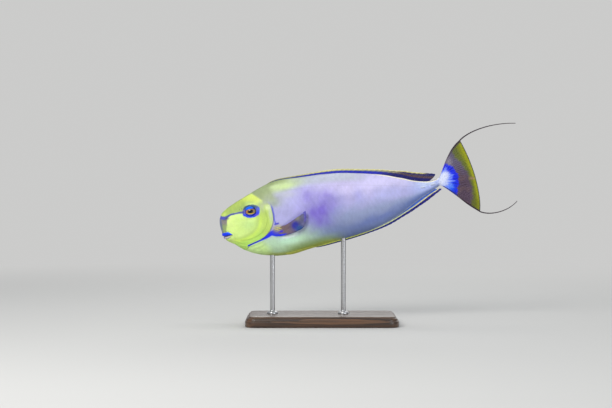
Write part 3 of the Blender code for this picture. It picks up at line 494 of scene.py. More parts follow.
def paint(s, h, y):
    """The fish's colours at points of its skin."""
    s, h, y = np.broadcast_arrays(np.asarray(s, float), h, y)
    top, low, half, wide, _ = station(s)
    u = (h - low) / np.maximum(top - low, 1.0)
    drift = ripple(s, h, y, 14.0, 4)
    fine = ripple(s, h, y, 4.0, 12)
    col = paint_trunk(s, h, y, u, drift)
    # head
    g, share, side = near(GILL, s, h)
    g = -g * side
    shoulder = smooth((h - 14.0) / 12.0)
    head = smooth((g - 3.0 * shoulder) / (0.8 + 5.0 * shoulder) + 0.5)
    ms = np.clip(s, MASK_LINE[-1, 0], MASK_LINE[0, 0])
    line_h = np.interp(ms, MASK_LINE[::-1, 0], MASK_LINE[::-1, 1])
    col = over(col, paint_head(s, h, y, u, fine, line_h), head)
    band = smooth((s - band_edge(h)) / 6.0 + 0.5) * (1 - smooth((s - 89.0 + 0.36 * (h - 40)) / 13.0)) * smooth((h - 8.0) / 10.0)
    band = band * np.maximum(smooth((-g + 1.0) / 3.0), smooth((h - 17.0) / 6.0))
    col = over(col, over(even(rgb(0.31, 0.36, 0.33), s), GREY_BAND, smooth((h - 14.0) / 16.0)), 0.90 * band)
    # nose: grey patch under the mask line, and a blue-grey front edge that is painted shade where the front of the nose
    # turns from the light
    patch = smooth((line_h - h + 0.3) / 1.6) * (1 - smooth((s - 8.2 - 0.18 * (h + 20.0) + 0.5 * fine) / 2.6))
    patch = patch * smooth((h + 22.5) / 4.0)
    grey = over(even(NOSE_GREY, s), rgb(0.23, 0.19, 0.23), smooth((h + 9.0) / 7.0))
    spots = ripple(s * 1.0, h, y, 1.7, 9)
    grey = over(grey, rgb(0.16, 0.10, 0.09), 0.50 * smooth((spots - 0.8) / 0.7) * smooth((s - 4) / 3) * smooth((h + 9.0) / 5.0))
    grey = over(grey, rgb(0.07, 0.08, 0.12), 0.70 * blob(s, h, 9.0, 2.2, 4.5, 2.0))
    col = over(col, grey, 0.92 * patch)
    # painted shade on the front edge of the nose
    edge = (1 - smooth((s - 1.6) / 3.0)) * smooth((h + 22.0) / 4.0) * (1 - smooth((h - 7.5) / 3.0))
    col = over(col, NOSE_EDGE, 0.85 * edge)
    # blue ring round the eye
    d = eye_reach(s, h)
    ring = eye_reach(s - 0.9, h - 0.35, 15.3, 11.6)
    inside = 1 - smooth((ring - 0.93 + 0.02 * fine) / 0.12)
    low_side = smooth((EYE_H - h - 0.5) / 4.0)
    high_side = smooth((h - EYE_H - 4.0) / 4.0)
    strong = np.clip(0.22 + 0.78 * low_side + 0.20 * high_side + 0.35 * smooth((s - EYE_S - 8.0) / 4.0), 0, 1)
    strong = np.maximum(strong, 0.75 * smooth((ring - 0.80) / 0.08) * smooth((s - EYE_S + 12.0) / 4.0))
    ring_col = over(even(RING_GREY, s), rgb(0.21, 0.13, 0.36), smooth((EYE_S - 9.0 - s) / 3.0) * (1 - low_side))
    ring_col = over(ring_col, rgb(0.13, 0.20, 0.42), 0.7 * smooth((s - EYE_S - 12.0) / 3.0))
    ring_col = over(ring_col, RING_BLUE, strong)
    ring_col = over(ring_col, rgb(0.01, 0.07, 0.16), 0.92 * smooth((h - EYE_H - 2.5) / 4.0) * (1 - 0.5 * smooth((s - EYE_S - 12.0) / 3.0)))
    ring_col = over(ring_col, rgb(0.13, 0.03, 0.62), 0.6 * blob(s, h, EYE_S + 9.5, EYE_H - 8.0, 4.0, 3.0))
    col = over(col, ring_col, inside * 0.96)
    # the pit under the eyeball is painted near black: painted shade in the gap round the eye
    col = over(col, rgb(0.01, 0.01, 0.03), 1 - smooth((d - 0.86) / 0.12))
    # nostril openings, painted near black as painted shade in the holes
    for cs, ch, rs, rh, _ in NOSTRILS:
        r = np.sqrt(((s - cs) / rs) ** 2 + ((h - ch) / rh) ** 2)
        col = over(col, rgb(0.03, 0.04, 0.03), 0.85 * (1 - smooth((r - 0.7) / 0.5)))
    # mask line
    m, mshare, mside = near(MASK_LINE, s, h)
    m_width = 0.95 + 1.05 * (1 - smooth((s - 9.0) / 9.0)) + 0.35 * smooth((s - 34) / 6)
    mask = (1 - smooth((m - m_width + 0.1 * fine) / 1.25)) * (d > 1.0)
    col = over(col, over(even(MASK_BLUE, s), rgb(0.06, 0.06, 0.46), 1 - smooth((s - 8) / 8)), 0.94 * mask)
    col = over(col, rgb(0.05, 0.06, 0.18), 0.85 * blob(s, h, 13.6, 4.2, 3.4, 2.3))
    # lips
    v = h - slit_height(s)
    taper = mouth_taper(s)
    tall = 6.5 * (0.06 + 0.94 * taper)
    on = smooth((taper - 0.02) / 0.05)
    lip = smooth((v + 0.1) / 0.6) * (1 - smooth((v - tall + 0.7) / 1.3)) * on
    col = over(col, over(even(rgb(0.0, 0.035, 0.92), s), rgb(0.0, 0.13, 0.95), 0.8 * blob(s, h, 14.5, -20.0, 4.5, 2.4)), lip)
    low_tall = 4.4 * (0.15 + 0.85 * taper)
    lip2 = smooth((-v + 0.1) / 0.6) * (1 - smooth((-v - low_tall + 0.8) / 1.4)) * smooth((taper - 0.25) / 0.35)
    col = over(col, LIP_LOW, 0.85 * lip2)
    col = over(col, rgb(0.04, 0.04, 0.60), lip2 * (1 - smooth((s - 2.6) / 2.4)) * 0.9)
    # painted shade in the mouth slit between the lips
    col = over(col, rgb(0.10, 0.06, 0.05), 0.9 * np.exp(-((v + 0.5) / 0.75) ** 2) * on)
    # preopercle margin, faint: painted shade along its groove
    p, pshare, _ = near(PREOPERCLE, s, h)
    ends = smooth(pshare / 0.15) * (1 - smooth((pshare - 0.85) / 0.15))
    col = over(col, rgb(0.34, 0.48, 0.11), 0.38 * np.exp(-(p / 1.1) ** 2) * ends)
    # gill opening: painted shade in the gap behind its free edge, and its blue lines
    on = smooth((share - 0.27) / 0.05) * (1 - smooth((share - 0.80) / 0.05))
    col = over(col, rgb(0.14, 0.15, 0.16), 0.50 * on * np.exp(-((g + 0.7) / 0.9) ** 2))
    b, bshare, _ = near(GILL_BLUE, s, h)
    b_width = 0.75 + 2.3 * smooth((bshare - 0.25) / 0.38)
    blue = (1 - smooth((b - b_width) / 1.3)) * (1 - smooth((bshare - 0.76) / 0.07))
    pool, pshare_, _ = near(((85.0, -33.4), (91.5, -36.0), (98.5, -38.4)), s, h)
    blue = np.maximum(blue, 1 - smooth((pool - 2.1 * (1 - 0.75 * smooth((pshare_ - 0.55) / 0.45))) / 1.2))
    col = over(col, BLUE, 0.97 * blue)
    b, bshare, _ = near(GILL_UPPER_BLUE, s, h)
    col = over(col, rgb(0.07, 0.09, 0.62), 0.78 * (1 - smooth((b - 0.5) / 1.3)) * smooth(bshare / 0.25))
    dash = np.hypot(np.maximum(np.abs(s - 96.4) - 2.6, 0), (h + 17.8) - 0.10 * (s - 97))
    col = over(col, rgb(0.0, 0.012, 0.58), 0.95 * (1 - smooth((dash - 1.0) / 1.1)))
    # yellow streaks and a violet one at the root of the pectoral fin
    k = blob(s, h, 97.0, -25.0, 6.5, 4.4)
    col = over(col, rgb(0.22, 0.17, 0.27), np.clip(1.25 * blob(s, h, 96.0, -27.0, 7.0, 6.0), 0, 0.90))
    col = over(col, rgb(0.64, 0.63, 0.10), np.clip(1.5 * k * smooth(0.30 + 1.5 * np.sin((h - 0.12 * (s - 97)) * 2.3 + 0.6)), 0, 0.95))
    # painted highlight: a pale mint stripe on the flank just under the fin, where the fin's shadow falls
    highlight_dist, share_, _ = near(((98.0, -41.8), (110.0, -42.8), (121.0, -41.6), (133.0, -37.4)), s, h)
    col = over(col, rgb(0.86, 0.96, 0.95), 0.88 * np.exp(-(highlight_dist / 2.2) ** 2) * smooth(share_ / 0.2) * smooth((1 - share_) / 0.25))
    # dark blue line along the base of the dorsal fin, cream line along the belly
    line = smooth((s - 82.0) / 20.0) * (1 - smooth((s - 376.0) / 6.0))
    col = over(col, rgb(0.015, 0.018, 0.24), 0.88 * line * (1 - smooth((np.abs(y) - 1.3) / 1.2)) * (h > wide))
    line = smooth((s - 120.0) / 30.0) * (1 - smooth((s - 376.0) / 6.0))
    col = over(col, rgb(0.36, 0.42, 0.62), 0.6 * line * (1 - smooth((np.abs(y) - 2.4) / 1.6)) * (h < wide) * smooth((s - 230) / 60))
    # lateral line, faint
    l, lshare, _ = near(LATERAL, s, h)
    col = over(col, col * 0.80, 0.35 * np.exp(-(l / 0.7) ** 2) * smooth(lshare / 0.06) * (1 - smooth((s - 375) / 8)))
    # fan of the tail base: the same colours as the fin that it carries
    fan = smooth((s - 379.0) / 7.0)
    col = over(col, fan_blue(s, h), fan)
    # mottling
    col = col * (1 + 0.022 * fine + 0.028 * drift)[..., None]
    return np.clip(col, 0.0, 0.95)


def fan_blue(s, h):
    """Whitish to azure to deep blue, outwards over the base of the tail fin."""
    r = np.hypot(s - 383.0, h - 10.0)
    turn = np.arctan2(h - 10.0, s - 383.0)
    grain = (0.9 * np.sin(turn * 13 + 1.4 * np.sin(turn * 5 + 0.6)) + 0.6 * np.sin(turn * 29 + 2.0)
             + 0.35 * np.sin(turn * 61))
    low = smooth((5.0 - h) / 10.0)
    col = even(rgb(0.50, 0.57, 0.88), r)
    col = over(col, rgb(0.17, 0.26, 0.93), smooth((r - 13.5 + 2.0 * grain + 7.0 * low) / 6.0))
    col = over(col, BLUE, smooth((r - 20.5 + 2.8 * grain) / 6.0))
    # a white wedge that runs up and back
    a, b = (s - 385.0) * 0.72 + (h - 10.0) * 0.69, (h - 10.0) * 0.72 - (s - 385.0) * 0.69
    wedge = smooth((23.0 - a + 1.6 * grain) / 9.0) * smooth((7.5 - np.abs(b + 1.0) + 0.7 * grain) / 5.0)
    col = over(col, rgb(0.70, 0.74, 0.93), 0.90 * wedge)
    col = over(col, rgb(0.02, 0.20, 0.90), 0.55 * blob(s, h, 402.0, -3.0, 6.0, 7.0))
    col = over(col, rgb(0.003, 0.005, 0.26), 0.60 * smooth((r - 21.0) / 5.0) * smooth((grain - 0.75) / 0.6))
    return col


# --------------------------------------------------------------------------
# Mesh helpers
# --------------------------------------------------------------------------
def outward(verts, faces, uv):
    """Faces, and their UV corners, turned so that the surface of a closed piece points out."""
    verts = np.asarray(verts, float)
    volume = 0.0
    for f in faces:
        for k in range(1, f.shape[1] - 1):
            volume += np.einsum("ij,ij->", verts[f[:, 0]], np.cross(verts[f[:, k]], verts[f[:, k + 1]]))
    if volume > -1e-12:
        return faces, uv
    return [f[:, ::-1] for f in faces], None if uv is None else [np.asarray(c)[:, ::-1] for c in uv]


def build(name, verts, faces, colours=None, alpha=None, uv=None, smooth_shade=True,
          coords=None):
    """A mesh object from arrays; faces is a list of (n, k) index arrays."""
    faces, uv = outward(verts, faces, uv)
    me = bpy.data.meshes.new(name)
    verts = np.ascontiguousarray(verts, np.float32)
    me.vertices.add(len(verts))
    me.vertices.foreach_set("co", verts.ravel())
    loops = np.concatenate([f.ravel() for f in faces]).astype(np.int32)
    sizes = np.concatenate([np.full(len(f), f.shape[1], np.int32) for f in faces])
    starts = np.concatenate(([0], np.cumsum(sizes)[:-1])).astype(np.int32)
    me.loops.add(len(loops))
    me.loops.foreach_set("vertex_index", loops)
    me.polygons.add(len(sizes))
    me.polygons.foreach_set("loop_start", starts)
    me.polygons.foreach_set("loop_total", sizes)
    me.update(calc_edges=True)
    if colours is not None:
        a = me.color_attributes.new("paint", "FLOAT_COLOR", "POINT")
        c = np.ones((len(verts), 4), np.float32)
        c[:, :3] = colours
        a.data.foreach_set("color", c.ravel())
    if alpha is not None:
        a = me.attributes.new("veil", "FLOAT", "POINT")
        a.data.foreach_set("value", np.asarray(alpha, np.float32).ravel())
    if coords is not None:
        a = me.attributes.new("fish", "FLOAT_VECTOR", "POINT")
        a.data.foreach_set("vector", np.asarray(coords, np.float32).ravel())
    if uv is not None:
        layer = me.uv_layers.new(name="OFBake")
        layer.data.foreach_set("uv", np.concatenate([u.reshape(-1, 2) for u in uv]).astype(np.float32).ravel())
    if smooth_shade:
        me.polygons.foreach_set("use_smooth", np.ones(len(sizes), bool))
    me.validate()
    obj = bpy.data.objects.new(name, me)
    bpy.context.scene.collection.objects.link(obj)
    return obj


def grid_quads(nr, na, wrap=True, offset=0, flip=False):
    i = np.arange(nr - 1)[:, None]
    k = np.arange(na if wrap else na - 1)[None, :]
    k2 = (k + 1) % na
    q = np.stack(np.broadcast_arrays(i * na + k, i * na + k2, (i + 1) * na + k2, (i + 1) * na + k), -1)
    q = q.reshape(-1, 4) + offset
    return q[:, ::-1] if flip else q


def finish_piece(obj, mat, slot, *nodes):
    obj.data.materials.append(mat)
    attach(obj, "root")
    if nodes:
        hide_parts(*nodes)
    return obj


# --------------------------------------------------------------------------
# Materials
# --------------------------------------------------------------------------
def new_material(name):
    mat = bpy.data.materials.new(name)
    mat.use_nodes = True
    nt = mat.node_tree
    nt.nodes.clear()
    out = nt.nodes.new("ShaderNodeOutputMaterial")
    bsdf = nt.nodes.new("ShaderNodeBsdfPrincipled")
    nt.links.new(bsdf.outputs[0], out.inputs[0])
    return mat, nt, bsdf


def add(nt, kind, **values):
    node = nt.nodes.new(kind)
    for key, value in values.items():
        if key in node.inputs.keys():
            node.inputs[key].default_value = value
        else:
            setattr(node, key, value)
    return node


def attribute(nt, name):
    return add(nt, "ShaderNodeAttribute", attribute_name=name)


def noise(nt, vector, scale, detail=3.0, rough=0.55):
    n = add(nt, "ShaderNodeTexNoise")
    n.inputs["Scale"].default_value = scale
    n.inputs["Detail"].default_value = detail
    n.inputs["Roughness"].default_value = rough
    nt.links.new(vector, n.inputs["Vector"])
    return n


def remap(nt, value, lo, hi, to_lo, to_hi):
    m = add(nt, "ShaderNodeMapRange")
    m.inputs["From Min"].default_value = lo
    m.inputs["From Max"].default_value = hi
    m.inputs["To Min"].default_value = to_lo
    m.inputs["To Max"].default_value = to_hi
    nt.links.new(value, m.inputs["Value"])
    return m.outputs[0]


def shade_by(nt, colour, factor):
    """colour times factor."""
    m = add(nt, "ShaderNodeVectorMath", operation="SCALE")
    nt.links.new(colour, m.inputs[0])
    nt.links.new(factor, m.inputs["Scale"])
    return m.outputs[0]


def bump(nt, height, strength, distance, normal=None):
    b = add(nt, "ShaderNodeBump")
    b.inputs["Strength"].default_value = strength
    b.inputs["Distance"].default_value = distance
    nt.links.new(height, b.inputs["Height"])
    if normal is not None:
        nt.links.new(normal, b.inputs["Normal"])
    return b.outputs[0]


def skin_material():
    mat, nt, bsdf = new_material("fish_skin")
    tint = attribute(nt, "paint").outputs["Color"]
    where = attribute(nt, "fish").outputs["Vector"]
    blotch = noise(nt, where, 0.22, 4.0)
    grain = noise(nt, where, 2.2, 3.0)
    col = shade_by(nt, tint, remap(nt, blotch.outputs["Fac"], 0.3, 0.7, 0.93, 1.06))
    col = shade_by(nt, col, remap(nt, grain.outputs["Fac"], 0.3, 0.7, 0.94, 1.05))
    nt.links.new(col, bsdf.inputs["Base Color"])
    nt.links.new(remap(nt, grain.outputs["Fac"], 0.3, 0.7, 0.34, 0.50), bsdf.inputs["Roughness"])
    bsdf.inputs["Specular IOR Level"].default_value = 0.24
    bsdf.inputs["Coat Weight"].default_value = 0.09
    bsdf.inputs["Coat Roughness"].default_value = 0.22
    pebble = add(nt, "ShaderNodeTexVoronoi", feature="F1")
    pebble.inputs["Scale"].default_value = 1.05
    nt.links.new(where, pebble.inputs["Vector"])
    first = bump(nt, pebble.outputs["Distance"], 0.35, 0.00018)
    nt.links.new(bump(nt, grain.outputs["Fac"], 0.30, 0.00025, first), bsdf.inputs["Normal"])
    return mat


def scale_material():
    mat, nt, bsdf = new_material("fish_scales")
    tint = attribute(nt, "paint").outputs["Color"]
    where = attribute(nt, "fish").outputs["Vector"]
    grain = noise(nt, where, 3.0, 2.0)
    col = shade_by(nt, tint, remap(nt, grain.outputs["Fac"], 0.3, 0.7, 0.95, 1.05))
    nt.links.new(col, bsdf.inputs["Base Color"])
    nt.links.new(remap(nt, grain.outputs["Fac"], 0.3, 0.7, 0.36, 0.48), bsdf.inputs["Roughness"])
    bsdf.inputs["Specular IOR Level"].default_value = 0.24
    bsdf.inputs["Coat Weight"].default_value = 0.08
    bsdf.inputs["Coat Roughness"].default_value = 0.25
    nt.links.new(bump(nt, grain.outputs["Fac"], 0.25, 0.0001), bsdf.inputs["Normal"])
    return mat


def fin_material(name, rough=0.42):
    mat, nt, bsdf = new_material(name)
    tint = attribute(nt, "paint").outputs["Color"]
    where = attribute(nt, "fish").outputs["Vector"]
    veil = attribute(nt, "veil").outputs["Fac"]
    cloud = noise(nt, where, 0.35, 4.0)
    fibre = add(nt, "ShaderNodeMapping")
    fibre.inputs["Scale"].default_value = (0.4, 3.5, 1.0)
    nt.links.new(where, fibre.inputs["Vector"])
    thread = noise(nt, fibre.outputs[0], 1.2, 3.0)
    col = shade_by(nt, tint, remap(nt, cloud.outputs["Fac"], 0.3, 0.7, 0.84, 1.12))
    col = shade_by(nt, col, remap(nt, thread.outputs["Fac"], 0.3, 0.7, 0.88, 1.10))
    nt.links.new(col, bsdf.inputs["Base Color"])
    nt.links.new(remap(nt, cloud.outputs["Fac"], 0.3, 0.7, rough - 0.06, rough + 0.08), bsdf.inputs["Roughness"])
    nt.links.new(veil, bsdf.inputs["Alpha"])
    bsdf.inputs["Specular IOR Level"].default_value = 0.26
    bsdf.inputs["Coat Weight"].default_value = 0.07
    bsdf.inputs["Coat Roughness"].default_value = 0.25
    nt.links.new(bump(nt, thread.outputs["Fac"], 0.35, 0.0002), bsdf.inputs["Normal"])
    return mat


# --------------------------------------------------------------------------
# Skin
# --------------------------------------------------------------------------
def spread(*runs):
    """Joined runs of even steps: (from, to, count)."""
    out = [np.linspace(a, b, n, endpoint=False) for a, b, n in runs]
    return np.concatenate(out + [[runs[-1][1]]])


def skin_grid():
    q_front = np.sqrt(20.0 - NOSE_S)
    s_front = NOSE_S + np.linspace(0.05, q_front, 80, endpoint=False) ** 2
    s = np.concatenate((s_front, spread((20, 36, 24), (36, 71, 72), (71, 98, 46),
                                        (98, 384, 110))))
    half_turn = np.radians(spread((-90, -66, 10), (-66, -24, 44), (-24, 3.5, 20),
                                  (3.5, 43.5, 46), (43.5, 90, 22)))
    other = math.pi - half_turn[::-1][1:-1]
    return s, np.concatenate((half_turn, other))


SKIN = {}
SLIT_LINE = math.radians(-38.0)


def mouth_shift(s, angle):
    """How far the grid's lines turn so that they run along the mouth slit."""
    _, low, _, wide, _ = station(s)
    sine = np.clip((slit_height(s) - wide) / np.maximum(wide - low, 1.0), -0.80, -0.40)
    want = np.arcsin(sine) - SLIT_LINE
    want = want * smooth((s - 2.0) / 3.0) * (1 - smooth((s - 19.0) / 14.0))
    one = np.where(angle > math.pi / 2, math.pi - angle, angle)
    shift = want * np.exp(-((one - SLIT_LINE) / math.radians(24.0)) ** 2) * smooth((one + math.pi / 2) / math.radians(20.0))
    return np.where(angle > math.pi / 2, -shift, shift)


def make_skin(mat):
    s, turn = skin_grid()
    S, A = np.meshgrid(s, turn, indexing="ij")
    A = A + mouth_shift(S, A)
    H, Y = section(S, A)
    # fan of the tail base: flares in height and thins into the caudal fin
    s2 = np.linspace(384.0, 398.0, 15)[1:]
    k = (s2 - 384.0) / 14.0
    top = np.interp(s2, UP_EDGE[:, 0], UP_EDGE[:, 1]) - 0.5
    low = np.interp(s2, LOW_EDGE[:, 0], LOW_EDGE[:, 1]) + 0.5
    top = top - (top - 10.0) * 0.22 * k ** 2
    low = low + (10.0 - low) * 0.22 * k ** 2
    mid, reach = (top + low) / 2, (top - low) / 2
    half = 0.10 + 3.3 * (1 - k) ** 1.35
    bow = 1.0 - 0.25 * k[:, None] * np.sin(turn)[None, :] ** 2
    S2 = np.broadcast_to(s2[:, None], (len(s2), len(turn))) + 0.0
    S2 = 384.0 + (S2 - 384.0) * bow
    H2 = mid[:, None] + reach[:, None] * np.sin(turn)[None, :]
    Y2 = half[:, None] * np.cos(turn)[None, :]
    S, H, Y = np.vstack((S, S2)), np.vstack((H, H2)), np.vstack((Y, Y2))
    nr, na = S.shape
    P = np.stack((S, H, Y), -1)
    along = np.gradient(P, axis=0)
    round_ = np.roll(P, -1, axis=1) - np.roll(P, 1, axis=1)
    N = np.cross(round_, along)
    N /= np.maximum(np.linalg.norm(N, axis=-1, keepdims=True), 1e-9)
    centre = np.stack((S[:, :1] * 0 + S[:, :1], H.mean(1, keepdims=True), Y[:, :1] * 0), -1)
    if (N * (P - centre)).sum(-1).mean() < 0:
        N = -N
    D = relief(S, H, Y)
    fade = smooth((392.0 - S) / 10.0)
    P = P + N * (D * fade)[..., None]
    verts = P.reshape(-1, 3)
    nose = np.array([[NOSE_S - 0.0, -5.0, 0.0]])
    tail = P[-1].mean(0, keepdims=True)
    verts = np.vstack((verts, nose, tail))
    quads = grid_quads(nr, na)
    k0 = np.arange(na)
    k1 = (k0 + 1) % na
    cap0 = np.stack((np.full(na, nr * na), k1, k0), 1)
    base = (nr - 1) * na
    cap1 = np.stack((np.full(na, nr * na + 1), base + k0, base + k1), 1)
    # unwrap: along the body and round the section
    i = np.arange(nr - 1)[:, None] + np.zeros(na)[None, :]
    k = np.zeros(nr - 1)[:, None] + np.arange(na)[None, :]
    U0, U1, V0, V1 = 0.02 + 0.94 * i / nr, 0.02 + 0.94 * (i + 1) / nr, k / na, (k + 1) / na
    uvq = np.stack((np.stack((U0, V0), -1), np.stack((U0, V1), -1), np.stack((U1, V1), -1),
                    np.stack((U1, V0), -1)), 2).reshape(-1, 4, 2)
    kk = np.arange(na)
    uv0 = np.stack((np.stack((np.full(na, 0.0), (kk + 0.5) / na), 1),
                    np.stack((np.full(na, 0.02), (kk + 1) / na), 1),
                    np.stack((np.full(na, 0.02), kk / na), 1)), 1)
    ue = 0.02 + 0.94 * (nr - 1) / nr
    uv1 = np.stack((np.stack((np.full(na, 0.99), (kk + 0.5) / na), 1),
                    np.stack((np.full(na, ue), kk / na), 1),
                    np.stack((np.full(na, ue), (kk + 1) / na), 1)), 1)
    colours = paint(verts[:, 0], verts[:, 1], verts[:, 2])
    along, round_ = np.gradient(P, axis=0), np.roll(P, -1, axis=1) - np.roll(P, 1, axis=1)
    N2 = np.cross(round_, along)
    N2 /= np.maximum(np.linalg.norm(N2, axis=-1, keepdims=True), 1e-9)
    if (N2 * (P - centre)).sum(-1).mean() < 0:
        N2 = -N2
    SKIN.update(s=np.concatenate((s, s2)), turn=turn, P=P, N=N2)
    obj = build("skin", world(verts[:, 0], verts[:, 1], verts[:, 2]), [quads, cap0, cap1],
                colours, uv=[uvq, uv0, uv1], coords=verts)
    print("skin triangles", 2 * len(quads) + len(cap0) + len(cap1))
    finish_piece(obj, mat, "body_skin", "head", "jaw", "upper_lip", "gill_cover_left",
                 "gill_cover_right", "trunk", "tail_stalk")
    return obj


# --------------------------------------------------------------------------
# Scales: small solid flakes in staggered rows, their free edges to the tail
# --------------------------------------------------------------------------
SCALE_SIDES = 6
COAT_LIMIT = 15000                       # scales in one piece, 12 triangles each


def on_skin(s, angle):
    """Point, normal and lengthwise direction on the relieved skin, in mm."""
    fi = np.interp(s, SKIN["s"], np.arange(len(SKIN["s"])))
    turn = SKIN["turn"]
    na = len(turn)
    ext = np.concatenate((turn, [turn[0] + 2 * math.pi]))
    base = angle
    for _ in range(6):
        base = angle - mouth_shift(s, base)
    angle = base
    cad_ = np.interp(angle, ext, np.arange(na + 1))
    i = np.minimum(fi.astype(int), len(SKIN["s"]) - 2)
    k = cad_.astype(int) % na
    k2 = (k + 1) % na
    a, b = (fi - i)[:, None], (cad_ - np.floor(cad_))[:, None]

    def mixed(G):
        return ((1 - a) * (1 - b) * G[i, k] + (1 - a) * b * G[i, k2]
                + a * (1 - b) * G[i + 1, k] + a * b * G[i + 1, k2])
    point = mixed(SKIN["P"])
    normal = mixed(SKIN["N"])
    normal /= np.linalg.norm(normal, axis=1, keepdims=True)
    along = ((1 - b) * (SKIN["P"][i + 1, k] - SKIN["P"][i, k]) + b * (SKIN["P"][i + 1, k2] - SKIN["P"][i, k2]))
    along -= (along * normal).sum(1, keepdims=True) * normal
    along /= np.maximum(np.linalg.norm(along, axis=1, keepdims=True), 1e-9)
    return point, normal, along


def scale_rows():
    """Roots of one side's scales: s, angle, pitch, and share round the flank."""
    rows = []
    s, row = 3.6, 0
    while s < 387.0:
        if s < 92.0:
            count = 112
        elif s < 288.0:
            count = 104
        else:
            count = 60
        angles = np.radians(np.linspace(-89.9, 89.9, 361))
        h, y = section(np.full(angles.shape, s), angles)
        run = np.concatenate(([0], np.cumsum(np.hypot(np.diff(h), np.diff(y)))))
        pitch = run[-1] / count
        share = (np.arange(count) + (0.25 if row % 2 else 0.75)) / count
        share = np.clip(share + rng.normal(0, 0.06, count) / count, 0, 1)
        rows.append(np.stack((np.full(count, s) + rng.normal(0, 0.05, count) * pitch,
                              np.interp(share * run[-1], run, angles),
                              np.full(count, pitch), share), 1))
        s += min(max(0.82 * pitch, 0.42), 1.28)
        row += 1
    return np.vstack(rows)


def bare(s, h, y):
    """Where the skin shows: eye, nostrils, lips, gill slit, roots of the fins."""
    out = eye_reach(s, h) < 1.24
    for cs, ch, rs, rh, _ in NOSTRILS:
        out |= np.hypot(s - cs, h - ch) < 1.7
    v = h - slit_height(s)
    taper = mouth_taper(s)
    out |= (taper > 0.0) & (v < 6.9 * (0.12 + 0.88 * taper)) & (v > -5.0 * (0.12 + 0.88 * taper) - 0.4)
    g, share, side = near(GILL, s, h)
    g = -g * side
    out |= (share > 0.27) & (share < 0.83) & (g > -2.4) & (g < 0.35)
    top = h > 0
    out |= top & (np.abs(y) < 1.25) & (s > DORSAL_START - 2) & (s < DORSAL_END + 4)
    out |= ~top & (np.abs(y) < 1.25) & (s > ANAL_START - 2) & (s < ANAL_END + 4)
    for _, s0, h0, rs, rh in PLATES:
        out |= ((s - s0) / rs) ** 2 + ((h - h0) / rh) ** 2 < 0.9
    return out


def make_scales(mat):
    made = 0
    for word, hand in (("left", -1), ("right", 1)):
        rows = scale_rows()
        s, angle, pitch, share = rows.T
        if hand < 0:
            angle = math.pi - angle
        point, normal, along = on_skin(s, angle)
        keep = ~bare(point[:, 0], point[:, 1], point[:, 2])
        s, pitch, share = s[keep], pitch[keep], share[keep]
        point, normal, along = point[keep], normal[keep], along[keep]
        n = len(s)
        spin = rng.normal(0, math.radians(4), n)
        across = np.cross(normal, along)
        t_dir = along * np.cos(spin)[:, None] + across * np.sin(spin)[:, None]
        b_dir = np.cross(normal, t_dir)
        grow = 1 + rng.normal(0, 0.05, n)
        length, width = 1.62 * np.minimum(pitch, 1.45) * grow, 1.10 * pitch * grow
        face = 1 - smooth((s - 30.0) / 60.0)
        height = (0.095 - 0.035 * face) * (0.6 + 0.4 * pitch / 1.4)
        # front, two cheeks, two shoulders, free tip, crown, root under the skin
        lt = np.array((-0.46, -0.16, -0.16, 0.30, 0.30, 0.54, 0.16, 0.02))
        lb = np.array((0.0, -0.47, 0.47, -0.36, 0.36, 0.0, 0.0, 0.0))
        ln = np.array((-0.6, 0.05, 0.05, 0.62, 0.62, 0.80, 1.0, 0.0))
        co = (point[:, None, :] + t_dir[:, None, :] * (length[:, None] * lt)[..., None]
              + b_dir[:, None, :] * (width[:, None] * lb)[..., None]
              + normal[:, None, :] * (height[:, None] * ln)[..., None])
        co[:, 7] = point - normal * 0.22 + t_dir * (0.02 * length)[:, None]
        ring = (0, 1, 3, 5, 4, 2)
        tri = [(ring[j], ring[(j + 1) % 6], 6) for j in range(6)] + [(ring[(j + 1) % 6], ring[j], 7) for j in range(6)]
        tri = np.array(tri)
        v = co[0]
        f = tri[0]
        if np.dot(np.cross(v[f[1]] - v[f[0]], v[f[2]] - v[f[0]]), normal[0]) < 0:
            tri = tri[:, ::-1]
        tri = tri[:, ::-1]               # world() swaps the hand
        tint = paint(co[..., 0], co[..., 1], co[..., 2])
        tint[:, 7] = tint[:, 6]
        # each scale darker at its front, where it dips under the skin, and lighter at its raised free tip: painted
        # shade and painted highlight
        edge = np.array((0.90, 0.97, 0.97, 1.02, 1.02, 1.07, 1.0, 0.9))
        tone = 1 + rng.normal(0, 0.022, n)
        tint = np.clip(tint * edge[None, :, None] * tone[:, None, None], 0, 0.95)
        patch_u = 0.003 * lt / 1.0
        patch_v = 0.003 * lb / 0.94
        pieces = max(1, math.ceil(n / COAT_LIMIT))
        bounds = [round(n * j / pieces) for j in range(pieces + 1)]
        for j in range(pieces):
            a, b = bounds[j], bounds[j + 1]
            m = b - a
            s0, s1 = s[a:b].min(), s[a:b].max()
            u = 0.01 + 0.98 * (s[a:b] - s0) / (s1 - s0)
            w = 0.01 + 0.98 * share[a:b]
            uvs = np.stack((u[:, None] + patch_u[None, :], w[:, None] + patch_v[None, :]), -1)
            verts = co[a:b].reshape(-1, 3)
            faces = (tri[None] + 8 * np.arange(m)[:, None, None]).reshape(-1, 3)
            obj = build("scales_%s_%d" % (word, j + 1), world(verts[:, 0], verts[:, 1], verts[:, 2]),
                        [faces], tint[a:b].reshape(-1, 3), uv=[uvs.reshape(-1, 2)[faces]], coords=verts)
            obj.data.set_sharp_from_angle(angle=math.radians(60))
            finish_piece(obj, mat, "body_skin")
            made += len(faces)
    print("scale triangles", made)


